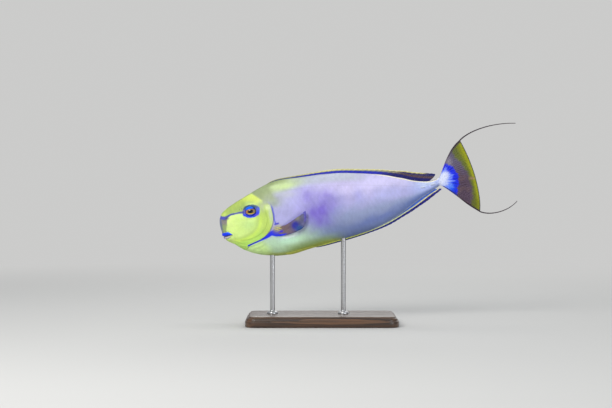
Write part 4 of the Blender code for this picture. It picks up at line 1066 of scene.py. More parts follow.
# --------------------------------------------------------------------------
# Eyes
# --------------------------------------------------------------------------
def make_eye(side, name):
    nr, na = 56, 96
    a, b, c = 10.5, 9.6, 7.4
    depth = float(flank(EYE_S, EYE_H)) + 1.9 - c
    # rings run from the front of the eye outwards
    r = np.concatenate((np.linspace(0.02, 0.93, nr - 10), np.linspace(0.94, 0.9999, 10)))
    t = 2 * math.pi * np.arange(na) / na
    R, T = np.meshgrid(r, t, indexing="ij")
    s = EYE_S + a * R * np.cos(T)
    h = EYE_H + b * R * np.sin(T)
    y = depth + c * np.sqrt(1 - R * R)
    # the clear front bulges a little over the iris
    y = y + 0.55 * (1 - smooth(R / 0.72))
    # colours: pupil, gold ring, bluish outer iris
    gx, gy = (s - EYE_S - 0.2) / 8.8, (h - EYE_H + 0.1) / 4.6
    gold = np.sqrt(gx ** 2 + gy ** 2)
    px, py = (s - EYE_S - 0.2) / 4.5, (h - EYE_H) / 3.0
    pupil = np.sqrt(px ** 2 + py ** 2)
    fibres = 0.5 + 0.5 * np.sin(T * 46 + 2.0 * np.sin(T * 9))
    col = even(rgb(0.02, 0.04, 0.36), s)
    col = over(col, rgb(0.0, 0.13, 0.94), 0.94 * smooth((h - EYE_H - 3.4) / 1.4) * (1 - smooth((s - EYE_S - 3.0) / 4.0)))
    col = over(col, rgb(0.07, 0.06, 0.10), 0.75 * smooth((s - EYE_S - 5.0) / 2.5))
    col = over(col, rgb(0.03, 0.08, 0.50), 0.8 * smooth((EYE_H - 4.6 - h) / 1.4))
    ring_mix = 1 - smooth((gold - 0.90) / 0.16)
    golden = over(even(rgb(0.36, 0.17, 0.04), s), rgb(0.86, 0.60, 0.04), smooth((EYE_H - 2.2 - h) / 1.4))
    golden = over(golden, rgb(0.46, 0.19, 0.05), 0.75 * smooth((EYE_S - 4.6 - s) / 2.4))
    golden = over(golden, rgb(0.24, 0.25, 0.12), 0.80 * smooth((s - EYE_S - 4.0) / 2.6) * smooth((h - EYE_H + 3.4) / 1.5))
    golden = golden * (0.82 + 0.30 * fibres * smooth((pupil - 1.0) / 0.4))[..., None]
    col = over(col, golden, ring_mix)
    col = over(col, rgb(0.08, 0.04, 0.02), 0.6 * np.exp(-((pupil - 1.1) / 0.10) ** 2))
    col = over(col, rgb(0.05, 0.03, 0.04), 0.6 * np.exp(-((gold - 1.08) / 0.07) ** 2) * smooth((s - EYE_S + 2.0) / 6.0))
    col = over(col, rgb(0.002, 0.003, 0.010), 1 - smooth((pupil - 0.94) / 0.10))
    verts = np.stack((s, h, side * y), -1).reshape(-1, 3)
    n = len(verts)
    tip = np.array([[EYE_S, EYE_H, side * (depth + c + 0.55)], [EYE_S, EYE_H, side * (depth - 2.0)]])
    verts = np.vstack((verts, tip))
    colours = np.vstack((col.reshape(-1, 3), rgb(0.002, 0.003, 0.010)[None], rgb(0.02, 0.02, 0.05)[None]))
    flip = side > 0
    quads = grid_quads(nr, na, flip=flip)
    k0, k1 = np.arange(na), (np.arange(na) + 1) % na
    cap0 = np.stack((np.full(na, n), k1, k0), 1)
    cap1 = np.stack((np.full(na, n + 1), (nr - 1) * na + k0, (nr - 1) * na + k1), 1)
    if flip:
        cap0, cap1 = cap0[:, ::-1], cap1[:, ::-1]
    flat = np.vstack((np.stack((0.5 + 0.48 * R * np.cos(T), 0.5 + 0.48 * R * np.sin(T)), -1).reshape(-1, 2),
                      [[0.5, 0.5], [0.995, 0.5]]))
    faces = [quads, cap0, cap1]
    obj = build(name, world(verts[:, 0], verts[:, 1], verts[:, 2]), faces, colours,
                coords=verts, uv=[flat[f] for f in faces])
    return obj


def eye_material():
    mat, nt, bsdf = new_material("eye")
    tint = attribute(nt, "paint").outputs["Color"]
    where = attribute(nt, "fish").outputs["Vector"]
    fleck = noise(nt, where, 1.6, 3.0)
    nt.links.new(shade_by(nt, tint, remap(nt, fleck.outputs["Fac"], 0.3, 0.7, 0.80, 1.18)), bsdf.inputs["Base Color"])
    nt.links.new(remap(nt, fleck.outputs["Fac"], 0.3, 0.7, 0.20, 0.30), bsdf.inputs["Roughness"])
    bsdf.inputs["Specular IOR Level"].default_value = 0.15
    bsdf.inputs["Coat Weight"].default_value = 0.85
    bsdf.inputs["Coat Roughness"].default_value = 0.03
    bsdf.inputs["Coat IOR"].default_value = 1.34
    return mat


# --------------------------------------------------------------------------
# Fins
# --------------------------------------------------------------------------
def coons(base, rear, lower, upper, u, v):
    u, v = np.asarray(u, float), np.asarray(v, float)
    lo, up, re = bezier(lower, u), bezier(upper, u), bezier(rear, v)
    b0, b1 = np.asarray(base[0]), np.asarray(base[1])
    ba = b0 + (b1 - b0) * v[..., None]
    U, V = u[..., None], v[..., None]
    c00, c01, c10, c11 = (np.asarray(p) for p in (lower[0], upper[0], lower[3], upper[3]))
    return ((1 - V) * lo + V * up + (1 - U) * ba + U * re
            - ((1 - U) * (1 - V) * c00 + (1 - U) * V * c01 + U * (1 - V) * c10 + U * V * c11))


def branching(u, v, count, first=0.38, second=0.68, width=0.16):
    """Ridge height 0..1 of fin rays that fork towards the margin."""
    x = v * count
    cell = np.floor(x)
    f = x - cell - 0.5
    open1 = 0.25 * smooth((u - first) / 0.30)
    open2 = 0.125 * smooth((u - second) / 0.28)
    best = np.zeros(np.broadcast(u, v).shape)
    thin = width * (1 - 0.45 * smooth((u - first) / 0.5))
    for a in (-1, 1):
        for b in (-1, 1):
            for shift in (-1, 0, 1):
                c = a * open1 + b * open2 + shift
                best = np.maximum(best, np.exp(-((f - c) / thin) ** 2))
    return best


def two_sheets(name, front, back_, colour, veil, U, V, turned):
    """A closed thin piece between two grids of points (s, h, y)."""
    nu, nv = U.shape
    n = nu * nv
    q0 = grid_quads(nu, nv, wrap=False)
    q1 = grid_quads(nu, nv, wrap=False, offset=n, flip=True)
    idx = np.arange(n).reshape(nu, nv)
    loop = np.concatenate((idx[0, :-1], idx[:-1, -1], idx[-1, :0:-1], idx[:0:-1, 0]))
    nxt = np.roll(loop, -1)
    rim = np.stack((nxt, loop, loop + n, nxt + n), 1)
    flat = np.stack((0.02 + 0.96 * U, 0.02 + 0.44 * V), -1).reshape(-1, 2)
    flat2 = flat + (0.0, 0.5)
    off = flat - (0.5, 0.24)
    off = 0.008 * np.sign(off) * (np.abs(off) > (0.479, 0.219))
    uvs = [flat[q0], flat2[q1 - n],
           np.stack((flat[nxt], flat[loop], (flat + off)[loop], (flat + off)[nxt]), 1)]
    faces = [q0, q1, rim]
    if turned:
        faces = [f[:, ::-1] for f in faces]
        uvs = [x[:, ::-1] for x in uvs]
    verts = np.vstack((front.reshape(-1, 3), back_.reshape(-1, 3)))
    return build(name, world(verts[:, 0], verts[:, 1], verts[:, 2]), faces,
                 np.vstack((colour.reshape(-1, 3),) * 2),
                 alpha=None if veil is None else np.concatenate((veil.ravel(),) * 2),
                 uv=uvs, coords=verts)


def plate(name, place, half, shift, colour, veil, nu, nv, us=None):
    """A thin closed fin: place(u, v) -> (s, h), half thickness, sideways shift."""
    u = np.linspace(0, 1, nu) if us is None else us
    U, V = np.meshgrid(u, np.linspace(0, 1, nv), indexing="ij")
    SH = place(U, V)
    S, H = SH[..., 0], SH[..., 1]
    T = half(U, V, S, H)
    M = shift(U, V, S, H)
    C = np.clip(colour(U, V, S, H), 0, 0.95)
    A = np.clip(veil(U, V, S, H), 0, 1)
    front, back_ = np.stack((S, H, M + T), -1), np.stack((S, H, M - T), -1)
    # which way the grid turns in (s, h) decides the winding; world() swaps the hand
    i, k = len(u) // 2, nv // 2
    e1, e2 = SH[i + 1, k] - SH[i, k], SH[i, k + 1] - SH[i, k]
    return two_sheets(name, front, back_, C, A, U, V, e1[0] * e2[1] - e1[1] * e2[0] > 0)


FIN_YELLOW = rgb(0.215, 0.245, 0.0)
FIN_OLIVE = rgb(0.10, 0.13, 0.015)
SMOKE = rgb(0.054, 0.023, 0.050)
SMOKE_BLUE = rgb(0.095, 0.08, 0.15)


def caudal_colour(U, V, S, H):
    r = np.hypot(S - 383.0, H - 10.0)
    rays = branching(U, V, 16)
    turn = V * 16
    streak = 0.8 * np.sin(turn * 2.1 + 1.0) + 0.6 * np.sin(turn * 5.3) + 0.5 * np.sin(turn * 12.9 + 2.0)
    cloud = ripple(S, H, 0, 9.0, 6)
    col = over(even(SMOKE, S), SMOKE_BLUE, smooth((V - 0.45) / 0.4))
    col = over(col, rgb(0.17, 0.09, 0.07), 0.30 * smooth((cloud + 0.2) / 1.2) * (1 - smooth((V - 0.5) / 0.3)))
    col = over(col, rgb(0.19, 0.15, 0.23), 0.38 * rays)
    col = over(col, rgb(0.34, 0.30, 0.36), 0.6 * blob(S, H, 405.0, 41.0, 5.0, 8.0))
    # yellow rear band, wide above, narrow in the middle
    ends = bezier(CAUDAL_REAR, V[0, :])
    gap = np.hypot(ends[None, :, 0] - S, ends[None, :, 1] - H)
    band = 7.6 + 12.5 * smooth((V - 0.56) / 0.44) + 7.0 * smooth((0.36 - V) / 0.36)
    k = 1 - smooth((gap - band + 1.0 * streak) / 7.0)
    yellow = over(even(FIN_YELLOW, S), FIN_OLIVE, np.clip(smooth((gap - band * 0.45) / 6.0) * (0.50 + 0.35 * smooth((V - 0.1) / 0.4)) + 0.30 * smooth((V - 0.85) / 0.15), 0, 1))
    yellow = over(yellow, rgb(0.38, 0.39, 0.008), 0.55 * np.exp(-((gap - 3.4) / 2.4) ** 2))
    yellow = yellow * (1 - 0.30 * smooth((0.40 - V) / 0.30))[..., None]
    yellow = over(yellow, rgb(0.16, 0.13, 0.04), 0.35 * (1 - rays) * smooth((gap - 4) / 5))
    col = over(col, yellow, k)
    col = over(col, rgb(0.34, 0.20, 0.12), 0.75 * k * np.exp(-((V - 0.515) / 0.020) ** 2) * smooth((gap - 1.5) / 2))
    # blue fan at the base
    reach = 32.0 + 1.1 * streak + 6.0 * smooth((0.30 - V) / 0.30) - 2.0 * smooth((V - 0.8) / 0.2)
    fan = 1 - smooth((r - reach) / 3.4)
    blue = fan_blue(S, H)
    blue = over(blue, rgb(0.50, 0.56, 0.93), 0.22 * (1 - smooth((r - 15) / 8)) * rays)
    blue = over(blue, rgb(0.01, 0.01, 0.36), 0.28 * (1 - rays) * smooth((r - 22) / 8))
    blue = over(blue, rgb(0.012, 0.02, 0.20), 0.92 * smooth((0.13 - V) / 0.09) * smooth((r - 5) / 6))
    blue = over(blue, rgb(0.10, 0.06, 0.60), 0.6 * smooth((V - 0.93) / 0.05) * smooth((r - 8) / 8))
    col = over(col, blue, fan)
    # margins: dark upper and lower rays, fine black rear edge
    col = over(col, rgb(0.03, 0.025, 0.05), 0.9 * (1 - smooth((gap - 0.7) / 1.0)))
    edge = np.minimum(V, 1 - V)
    col = over(col, rgb(0.07, 0.05, 0.07), 0.80 * (1 - smooth((edge - 0.016) / 0.016)) * smooth((r - 30) / 10))
    return col


def caudal_veil(U, V, S, H):
    r = np.hypot(S - 383.0, H - 10.0)
    ends = bezier(CAUDAL_REAR, V[0, :])
    gap = np.hypot(ends[None, :, 0] - S, ends[None, :, 1] - H)
    rays = branching(U, V, 16)
    edge = np.minimum(V, 1 - V)
    a = 0.84 + 0.14 * rays
    a = np.maximum(a, 0.97 * (1 - smooth((gap - 9) / 8)))
    a = np.maximum(a, 1 - smooth((r - 34) / 6))
    return np.maximum(a, 1 - smooth((edge - 0.03) / 0.02))


def make_caudal(mat):
    def half(U, V, S, H):
        base = 0.42 + 1.0 * (1 - smooth(U / 0.34)) * (0.30 + 0.70 * np.sin(math.pi * V))
        rays = branching(U, V, 16)
        edge = 1 - smooth((np.minimum(V, 1 - V) - 0.012) / 0.02)
        return base * 0.72 + 0.30 * rays * (1 - 0.5 * U) + 0.35 * edge * (1 - 0.3 * U)

    def shift(U, V, S, H):
        return 0.9 * np.sin(V * 7.0 + 0.8) * U * U + 0.5 * np.sin(V * 15 + 2 * U) * U ** 3
    obj = plate("tail_fin", lambda u, v: coons((CAUDAL_BASE_LOW, CAUDAL_BASE_TOP), CAUDAL_REAR,
                                               CAUDAL_LOWER, CAUDAL_UPPER, u, v),
                half, shift, caudal_colour, caudal_veil, 120, 385)
    return finish_piece(obj, mat, "caudal_fin", "caudal_fin")


def tube(name, curve, radius, colour, sides=14, flat=1.0, shift=None):
    """A closed tapering tube along samples of (s, h)."""
    n = len(curve)
    t = np.gradient(curve, axis=0)
    t /= np.linalg.norm(t, axis=1, keepdims=True)
    up = np.stack((-t[:, 1], t[:, 0]), 1)
    a = 2 * math.pi * np.arange(sides) / sides
    ring = curve[:, None, :] + up[:, None, :] * (radius[:, None] * np.cos(a)[None, :])[..., None]
    y = radius[:, None] * flat * np.sin(a)[None, :] + (0 if shift is None else shift[:, None])
    verts = np.concatenate((ring, y[..., None]), -1).reshape(-1, 3)
    tips = np.array([[*curve[0], 0 if shift is None else shift[0]],
                     [*curve[-1], 0 if shift is None else shift[-1]]])
    verts = np.vstack((verts, tips))
    quads = grid_quads(n, sides, flip=True)
    k0, k1 = np.arange(sides), (np.arange(sides) + 1) % sides
    cap0 = np.stack((np.full(sides, n * sides), k0, k1), 1)
    cap1 = np.stack((np.full(sides, n * sides + 1), (n - 1) * sides + k1, (n - 1) * sides + k0), 1)
    faces = [f[:, ::-1] for f in (quads, cap0, cap1)]
    col = np.repeat(colour, sides, axis=0)
    col = np.vstack((col, colour[:1], colour[-1:]))
    i = np.arange(n - 1)[:, None] + np.zeros(sides)[None, :]
    k = np.zeros(n - 1)[:, None] + np.arange(sides)[None, :]
    U0, U1, V0, V1 = 0.02 + 0.96 * i / n, 0.02 + 0.96 * (i + 1) / n, k / sides, (k + 1) / sides
    # in the order that the two flips above leave the corners
    body = np.stack((np.stack((U0, V0), -1), np.stack((U0, V1), -1), np.stack((U1, V1), -1),
                     np.stack((U1, V0), -1)), 2).reshape(-1, 4, 2)
    ends = []
    for e0, e1 in ((0.02, 0.0), (0.02 + 0.96 * (n - 1) / n, 1.0)):
        first, second = (k0, k0 + 1) if e1 == 0.0 else (k0 + 1, k0)
        ends.append(np.stack((np.stack((np.full(sides, e1), (k0 + 0.5) / sides), 1),
                              np.stack((np.full(sides, e0), first / sides), 1),
                              np.stack((np.full(sides, e0), second / sides), 1)), 1)[:, ::-1])
    return build(name, world(verts[:, 0], verts[:, 1], verts[:, 2]), faces, col, coords=verts,
                 alpha=np.ones(len(verts)), uv=[body] + ends)


def make_streamer(name, edge, points, node, mat):
    """The filament, with the last stretch of the fin's outer ray that bears it."""
    run = bezier(edge, np.linspace(0.52, 0.985, 46))
    tail = bezier(points, np.linspace(0.0, 1.0, 130))
    curve = np.vstack((run, tail))
    cut = np.concatenate(([0], np.cumsum(np.hypot(*np.diff(curve, axis=0).T))))
    want = np.linspace(0, cut[-1], 190)
    curve = np.stack((np.interp(want, cut, curve[:, 0]), np.interp(want, cut, curve[:, 1])), 1)
    for _ in range(6):                      # ease the joint of the two curves
        curve[1:-1] = 0.25 * curve[:-2] + 0.5 * curve[1:-1] + 0.25 * curve[2:]
    k = np.linspace(0, 1, len(curve))
    beads = 1 + 0.05 * np.sin(k * 260)
    radius = (1.38 * (1 - k) + 0.55 * k) * beads * (0.08 + 0.92 * smooth(k / 0.24))
    col = over(even(rgb(0.018, 0.006, 0.018), k), rgb(0.05, 0.030, 0.040), 0.6 * k)
    sway = 0.9 * np.sin((k - 0.2) * 6.0) * smooth((k - 0.2) / 0.3)
    obj = tube(name, curve, radius, col, shift=sway)
    return finish_piece(obj, mat, "streamer", node)


def ridge_place(start, end, edge, heights, tip, sign, lean, count):
    xs, ys = [p[0] for p in heights], [p[1] for p in heights]

    def place(U, V):
        s = start + (end - start) * U
        high_s = s + lean * pchip(xs, ys, s) * smooth(U * 8.0) * smooth((1 - U) * 5.0)
        high_h = edge(high_s) + sign * pchip(xs, ys, high_s)
        k = smooth((U - 0.86) / 0.14)
        high_s = high_s + (tip[0] - high_s) * k
        high_h = high_h + (tip[1] - high_h) * k
        high_h = edge(s) + (high_h - edge(s)) * smooth(U * 22.0) - sign * 1.0 * (1 - smooth(U * 22.0))
        # the margin is scalloped between the rays, the rear end rounded
        f = U * count - np.floor(U * count) - 0.5
        high_h = high_h - sign * 0.45 * (2 * f) ** 2 * smooth((U - 0.15) / 0.3)
        high_h = high_h - sign * 1.5 * smooth((U - 0.975) / 0.025) ** 2
        low_h = edge(s) - sign * 1.2
        s = s + (high_s - s) * V + 1.7 * np.sin(math.pi * V) * smooth((U - 0.92) / 0.08)
        return np.stack((s, low_h + (high_h - low_h) * V), -1)
    return place


def ridge_rays(U, V, count):
    f = U * count - np.floor(U * count) - 0.5
    return np.exp(-(f / 0.17) ** 2) * (0.55 + 0.45 * (1 - V))


def make_dorsal(mat):
    count = 34

    def half(U, V, S, H):
        taper = smooth(U * 30) * smooth((1 - U) * 30)
        return (0.34 + 0.55 * (1 - V) ** 1.5 + 0.22 * ridge_rays(U, V, count) + 0.16 * np.exp(-((V - 0.94) / 0.06) ** 2)) * (0.4 + 0.6 * taper)

    def shift(U, V, S, H):
        return 0.55 * V * np.sin(U * 20.0) * smooth(U * 3)

    def colour(U, V, S, H):
        rays = ridge_rays(U, V, count)
        # in front the fin is folded low: a blue line under a cream one; behind, smoky skin shows
        rear = smooth((U - 0.68) / 0.14)
        end = smooth((U - 0.90) / 0.05)
        col = over(even(rgb(0.28, 0.31, 0.24), S), rgb(0.075, 0.036, 0.055), rear)
        col = over(col, rgb(0.16, 0.09, 0.10), 0.40 * rays * rear)
        col = over(col, rgb(0.006, 0.008, 0.14), 0.92 * np.exp(-((V - 0.74) / 0.09) ** 2) * smooth((U - 0.76) / 0.06))
        col = over(col, rgb(0.16, 0.18, 0.16), 0.40 * rays * (1 - rear))
        # a second pale streak where the folded rays overlap
        col = over(col, rgb(0.48, 0.42, 0.24), 0.75 * np.exp(-((V - 0.70) / 0.06) ** 2) * smooth((U - 0.66) / 0.06) * (1 - smooth((U - 0.76) / 0.06)))
        line = over(even(rgb(0.0, 0.008, 0.48), S), rgb(0.004, 0.006, 0.13), smooth((U - 0.66) / 0.12))
        line = over(line, rgb(0.01, 0.015, 0.15), 1 - smooth((U - 0.10) / 0.20))
        col = over(col, line, 0.96 * (1 - smooth((V - 0.56 + 0.20 * smooth((U - 0.74) / 0.14)) / 0.08)))
        low = 0.10 * (1 - smooth((U - 0.62) / 0.12)) + 0.10 * (1 - smooth((U - 0.30) / 0.35))
        cream = over(even(rgb(0.74, 0.70, 0.30), S), rgb(0.36, 0.38, 0.10), 1 - smooth((U - 0.08) / 0.25))
        col = over(col, cream, smooth((V - 0.86 + low) / 0.05) * (1 - end))
        col = over(col, rgb(0.006, 0.008, 0.13), end * smooth((V - 0.66) / 0.12))
        return col * (1 - 0.30 * rays * smooth((U - 0.10) / 0.2))[..., None]

    def veil(U, V, S, H):
        rays = ridge_rays(U, V, count)
        a = 0.78 + 0.2 * rays
        return np.maximum(a, np.maximum(smooth((V - 0.82) / 0.06), 1 - smooth((V - 0.40) / 0.15)))
    obj = plate("back_fin", ridge_place(DORSAL_START, DORSAL_END, back, DORSAL_HEIGHT, DORSAL_TIP, 1.0, 1.7, count),
                half, shift, colour, veil, 680, 22)
    return finish_piece(obj, mat, "dorsal_fin", "dorsal_fin")


def make_anal(mat):
    count = 30

    def half(U, V, S, H):
        taper = smooth(U * 30) * smooth((1 - U) * 30)
        return (0.34 + 0.55 * (1 - V) ** 1.5 + 0.22 * ridge_rays(U, V, count)) * (0.4 + 0.6 * taper)

    def shift(U, V, S, H):
        return 0.5 * V * np.sin(U * 17.0 + 1.0) * smooth(U * 3)

    def colour(U, V, S, H):
        rays = ridge_rays(U, V, count)
        rear = smooth((U - 0.60) / 0.22)
        col = over(even(rgb(0.004, 0.012, 0.10), S), rgb(0.012, 0.006, 0.12), 0.85 * rear)
        col = over(col, rgb(0.08, 0.08, 0.13), 0.25 * rays)
        line = over(even(rgb(0.76, 0.84, 0.12), S), rgb(0.66, 0.72, 0.42), smooth((U - 0.34) / 0.20))
        line = over(line, rgb(0.86, 0.80, 0.40), smooth((U - 0.72) / 0.14))
        place_ = 0.30 + 0.14 * rear
        half_ = 0.17 - 0.04 * smooth((U - 0.30) / 0.3) - 0.055 * rear
        col = over(col, line, 0.96 * (1 - smooth((np.abs(V - place_) - half_) / 0.06)))
        col = over(col, over(even(rgb(0.22, 0.30, 0.36), S), rgb(0.05, 0.15, 0.68), rear), 0.92 * (1 - smooth((V - place_ + half_ + 0.02) / 0.05)))
        # blue spots along the margin, one to a ray
        f = (U * count * 0.8) % 1.0 - 0.5
        spot = np.exp(-(f / 0.26) ** 2 - ((V - 0.84) / 0.17) ** 2)
        col = over(col, rgb(0.004, 0.006, 0.30), np.clip(1.5 * spot, 0, 1) * smooth((U - 0.30) / 0.2))
        col = over(col, rgb(0.004, 0.008, 0.16), 0.85 * rear * np.exp(-((V - place_ - half_ - 0.10) / 0.06) ** 2))
        col = col * (1 - 0.28 * rays * smooth((U - 0.10) / 0.2))[..., None]
        return col

    def veil(U, V, S, H):
        return np.full(S.shape, 0.92) + 0.08 * ridge_rays(U, V, count)
    obj = plate("vent_fin", ridge_place(ANAL_START, ANAL_END, belly, ANAL_HEIGHT, ANAL_TIP, -1.0, 1.9, count),
                half, shift, colour, veil, 560, 20)
    return finish_piece(obj, mat, "anal_fin", "anal_fin")


def make_pectoral(side, name, mat):
    count = 16

    def place(U, V):
        root = smooth(U / 0.10)
        p = coons(PEC_BASE, PEC_REAR, PEC_LOWER, PEC_UPPER, U, V)
        # the rear margin is faintly scalloped between the rays
        f = V * count - np.floor(V * count) - 0.5
        p[..., 0] -= 0.55 * smooth((U - 0.9) / 0.1) * (2 * f) ** 2
        p[..., 0] -= 4.0 * (1 - root)
        return p

    def half(U, V, S, H):
        rays = branching(U, V, count, 0.45, 0.75, 0.19)
        edge = np.exp(-(((1 - V)) / 0.035) ** 2)
        root = 1 - smooth(U / 0.22)
        flesh = 0.8 * root * np.sin(math.pi * np.clip(V, 0.001, 0.999)) ** 0.5
        return 0.24 + flesh + (0.26 * rays * (1 - 0.55 * U) + 0.35 * edge * (1 - 0.6 * U)) * smooth(U / 0.15)

    def shift(U, V, S, H):
        rays = branching(U, V, count, 0.45, 0.75, 0.19)
        lift = 6.5 * smooth(U) * (0.55 + 0.45 * V)
        wave = 0.35 * np.sin(V * 11) * U + 0.5 * np.sin(V * 5.0 + 1.0) * U * U
        sunk = 3.4 * (1 - smooth((U + 0.01) / 0.13))
        return side * (flank(S, H) + 0.45 + 1.2 * smooth(U / 0.2) - sunk + lift + wave)

    def colour(U, V, S, H):
        rays = branching(U, V, count, 0.45, 0.75, 0.19)
        col = even(rgb(0.130, 0.088, 0.132), S)
        col = over(col, rgb(0.19, 0.120, 0.105), 0.65 * (1 - smooth((U - 0.35) / 0.35)))
        col = over(col, rgb(0.095, 0.115, 0.25), 0.75 * smooth((U - 0.6) / 0.25))
        col = over(col, rgb(0.25, 0.25, 0.10), 0.80 * blob(S, H, 132.5, -13.5, 5.5, 4.5))
        col = over(col, rgb(0.26, 0.23, 0.44), 0.26 * rays * smooth((U - 0.15) / 0.3))
        col = over(col, rgb(0.008, 0.015, 0.38), (0.93 - 0.12 * rays) * np.clip(1.5 * blob(S, H, 127.5, -25.5, 6.0, 7.0), 0, 1))
        col = over(col, rgb(0.0, 0.06, 0.28), (0.97 - 0.10 * rays) * np.clip(1.5 * blob(S, H, 134.0, -31.0, 6.0, 4.5), 0, 1))
        col = over(col, rgb(0.34, 0.33, 0.85), 0.9 * smooth((V - 0.92) / 0.05) * smooth((U - 0.18) / 0.2))
        col = over(col, rgb(0.12, 0.10, 0.52), 0.8 * smooth((U - 0.90) / 0.06) * smooth((V - 0.30) / 0.3))
        col = over(col, BLUE, np.clip(smooth((0.26 - V) / 0.10) * (1 - smooth((U - 0.30) / 0.16)), 0, 1))
        col = over(col, rgb(0.02, 0.02, 0.26), 0.7 * np.clip(smooth((0.12 - V) / 0.08) * (1 - smooth((U - 0.50) / 0.16)), 0, 1) * smooth((U - 0.36) / 0.1))
        streak = smooth(0.30 + 1.5 * np.sin((H - 0.12 * (S - 97)) * 2.3 + 0.6))
        col = over(col, rgb(0.62, 0.60, 0.11), 0.9 * (1 - smooth((S - 100.0) / 6.0)) * smooth((V - 0.45) / 0.2) * streak)
        col = over(col, rgb(0.05, 0.02, 0.58), 0.95 * np.clip(1.2 * blob(S, H, 102.0, -31.5, 3.6, 2.2), 0, 1))
        col = over(col, paint(S, H, side * flank(S, H)), 1 - smooth((U - 0.07) / 0.09))
        return col

    def veil(U, V, S, H):
        rays = branching(U, V, count, 0.45, 0.75, 0.19)
        a = 0.90 - 0.10 * smooth((U - 0.6) / 0.3) + 0.10 * rays
        return np.maximum(a, 1 - smooth((U - 0.25) / 0.2))
    obj = plate(name, place, half, shift, colour, veil, 90, 200)
    return finish_piece(obj, mat, "pectoral_fin", name)


def make_pelvic(side, name, mat):
    nu, nv = 110, 34
    u, v = np.linspace(0, 1, nu), np.linspace(0, 1, nv)
    U, V = np.meshgrid(u, v, indexing="ij")
    s = 97.0 + (161.0 - 97.0) * U
    wide = 0.35 + 0.65 * np.sin(math.pi * (0.12 + 0.78 * U)) ** 0.8
    tip = np.sqrt(np.clip(1 - (np.clip(U - 0.80, 0, 1) / 0.2) ** 2, 0, 1))
    arc = 8.0 + 5.0 * (1 - tip) + 13.0 * V * wide * (0.06 + 0.94 * tip)
    f = np.exp(-(((V * 4) % 1.0 - 0.5) / 0.2) ** 2)
    inner = -2.2 + 2.5 * smooth(U / 0.22) + 0.8 * U * U
    outer = inner + (0.50 + 0.9 * (1 - U)) * (0.60 + 0.40 * f) * (0.35 + 0.65 * np.sin(math.pi * np.clip(V, 0.02, 0.98)) ** 0.5)
    sheets = []
    angle = np.radians(-90.0 + arc)
    top, low, half, wd, power = station(s)
    h0, y0 = section(s, angle)
    nh = (wd - low) * 0 + np.sin(angle) / np.maximum(wd - low, 1)
    ny = np.cos(angle) / np.maximum(half, 1)
    size = np.hypot(nh, ny)
    nh, ny = nh / size, ny / size
    for lift in (outer, inner):
        sheets.append(np.stack((s, h0 + nh * lift, side * (y0 + ny * lift)), -1))
    col = even(rgb(0.50, 0.52, 0.09), s)
    col = over(col, rgb(0.30, 0.37, 0.08), 0.6 * (1 - f))
    col = over(col, rgb(0.62, 0.62, 0.08), 0.6 * smooth((0.2 - V) / 0.15))
    obj = two_sheets(name, sheets[0], sheets[1], col, 0.9 + 0.1 * f, U, V, side > 0)
    return finish_piece(obj, mat, "pelvic_fin", name)


def make_plate(row, side, name, mat):
    """A bony plate with a blade keel that leans forward."""
    _, s0, h0, half_s, half_h = row
    nu, nv = 44, 34
    u, v = np.linspace(-1, 1, nu), np.linspace(-1, 1, nv)
    A, B = np.meshgrid(u, v, indexing="ij")
    s = s0 + half_s * A * np.sqrt(1 - 0.5 * B * B)
    h = h0 + half_h * B * np.sqrt(1 - 0.5 * A * A)
    reach = np.sqrt(np.clip(A * A + B * B - A * A * B * B, 0, 1))
    blade = np.exp(-(B / 0.20) ** 2) * smooth((1 - np.abs(A + 0.15)) / 0.65)
    dome = 1.05 * np.clip(1 - reach ** 2, 0, 1) ** 0.8
    out = -0.42 + dome + 1.65 * blade + 0.03 * np.sin(reach * 26)
    s = s - 1.1 * blade * smooth((1 - np.abs(A)) / 0.6)
    base = flank(s, h)
    outer = np.stack((s, h, side * (base + out)), -1)
    inner = np.stack((s, h, side * (base - 0.9)), -1)
    col = paint(s, h, side * base)
    col = over(col, rgb(0.60, 0.66, 0.78), 0.50 * (1 - smooth((reach - 0.5) / 0.4)))
    col = over(col, rgb(0.62, 0.70, 0.86), 0.40 * blade)
    # painted shade on the lower side of the keel
    col = over(col, rgb(0.10, 0.18, 0.55), 0.30 * blob(B, A, -0.42, 0.1, 0.22, 0.5))
    obj = two_sheets(name, outer, inner, col, None, A * 0.5 + 0.5, B * 0.5 + 0.5, side > 0)
    return finish_piece(obj, mat, "keel_plate", name)


def bone_material():
    mat, nt, bsdf = new_material("keel_bone")
    tint = attribute(nt, "paint").outputs["Color"]
    where = attribute(nt, "fish").outputs["Vector"]
    grain = noise(nt, where, 1.4, 4.0)
    nt.links.new(shade_by(nt, tint, remap(nt, grain.outputs["Fac"], 0.3, 0.7, 0.85, 1.10)), bsdf.inputs["Base Color"])
    nt.links.new(remap(nt, grain.outputs["Fac"], 0.3, 0.7, 0.30, 0.48), bsdf.inputs["Roughness"])
    nt.links.new(bump(nt, grain.outputs["Fac"], 0.4, 0.0002), bsdf.inputs["Normal"])
    return mat


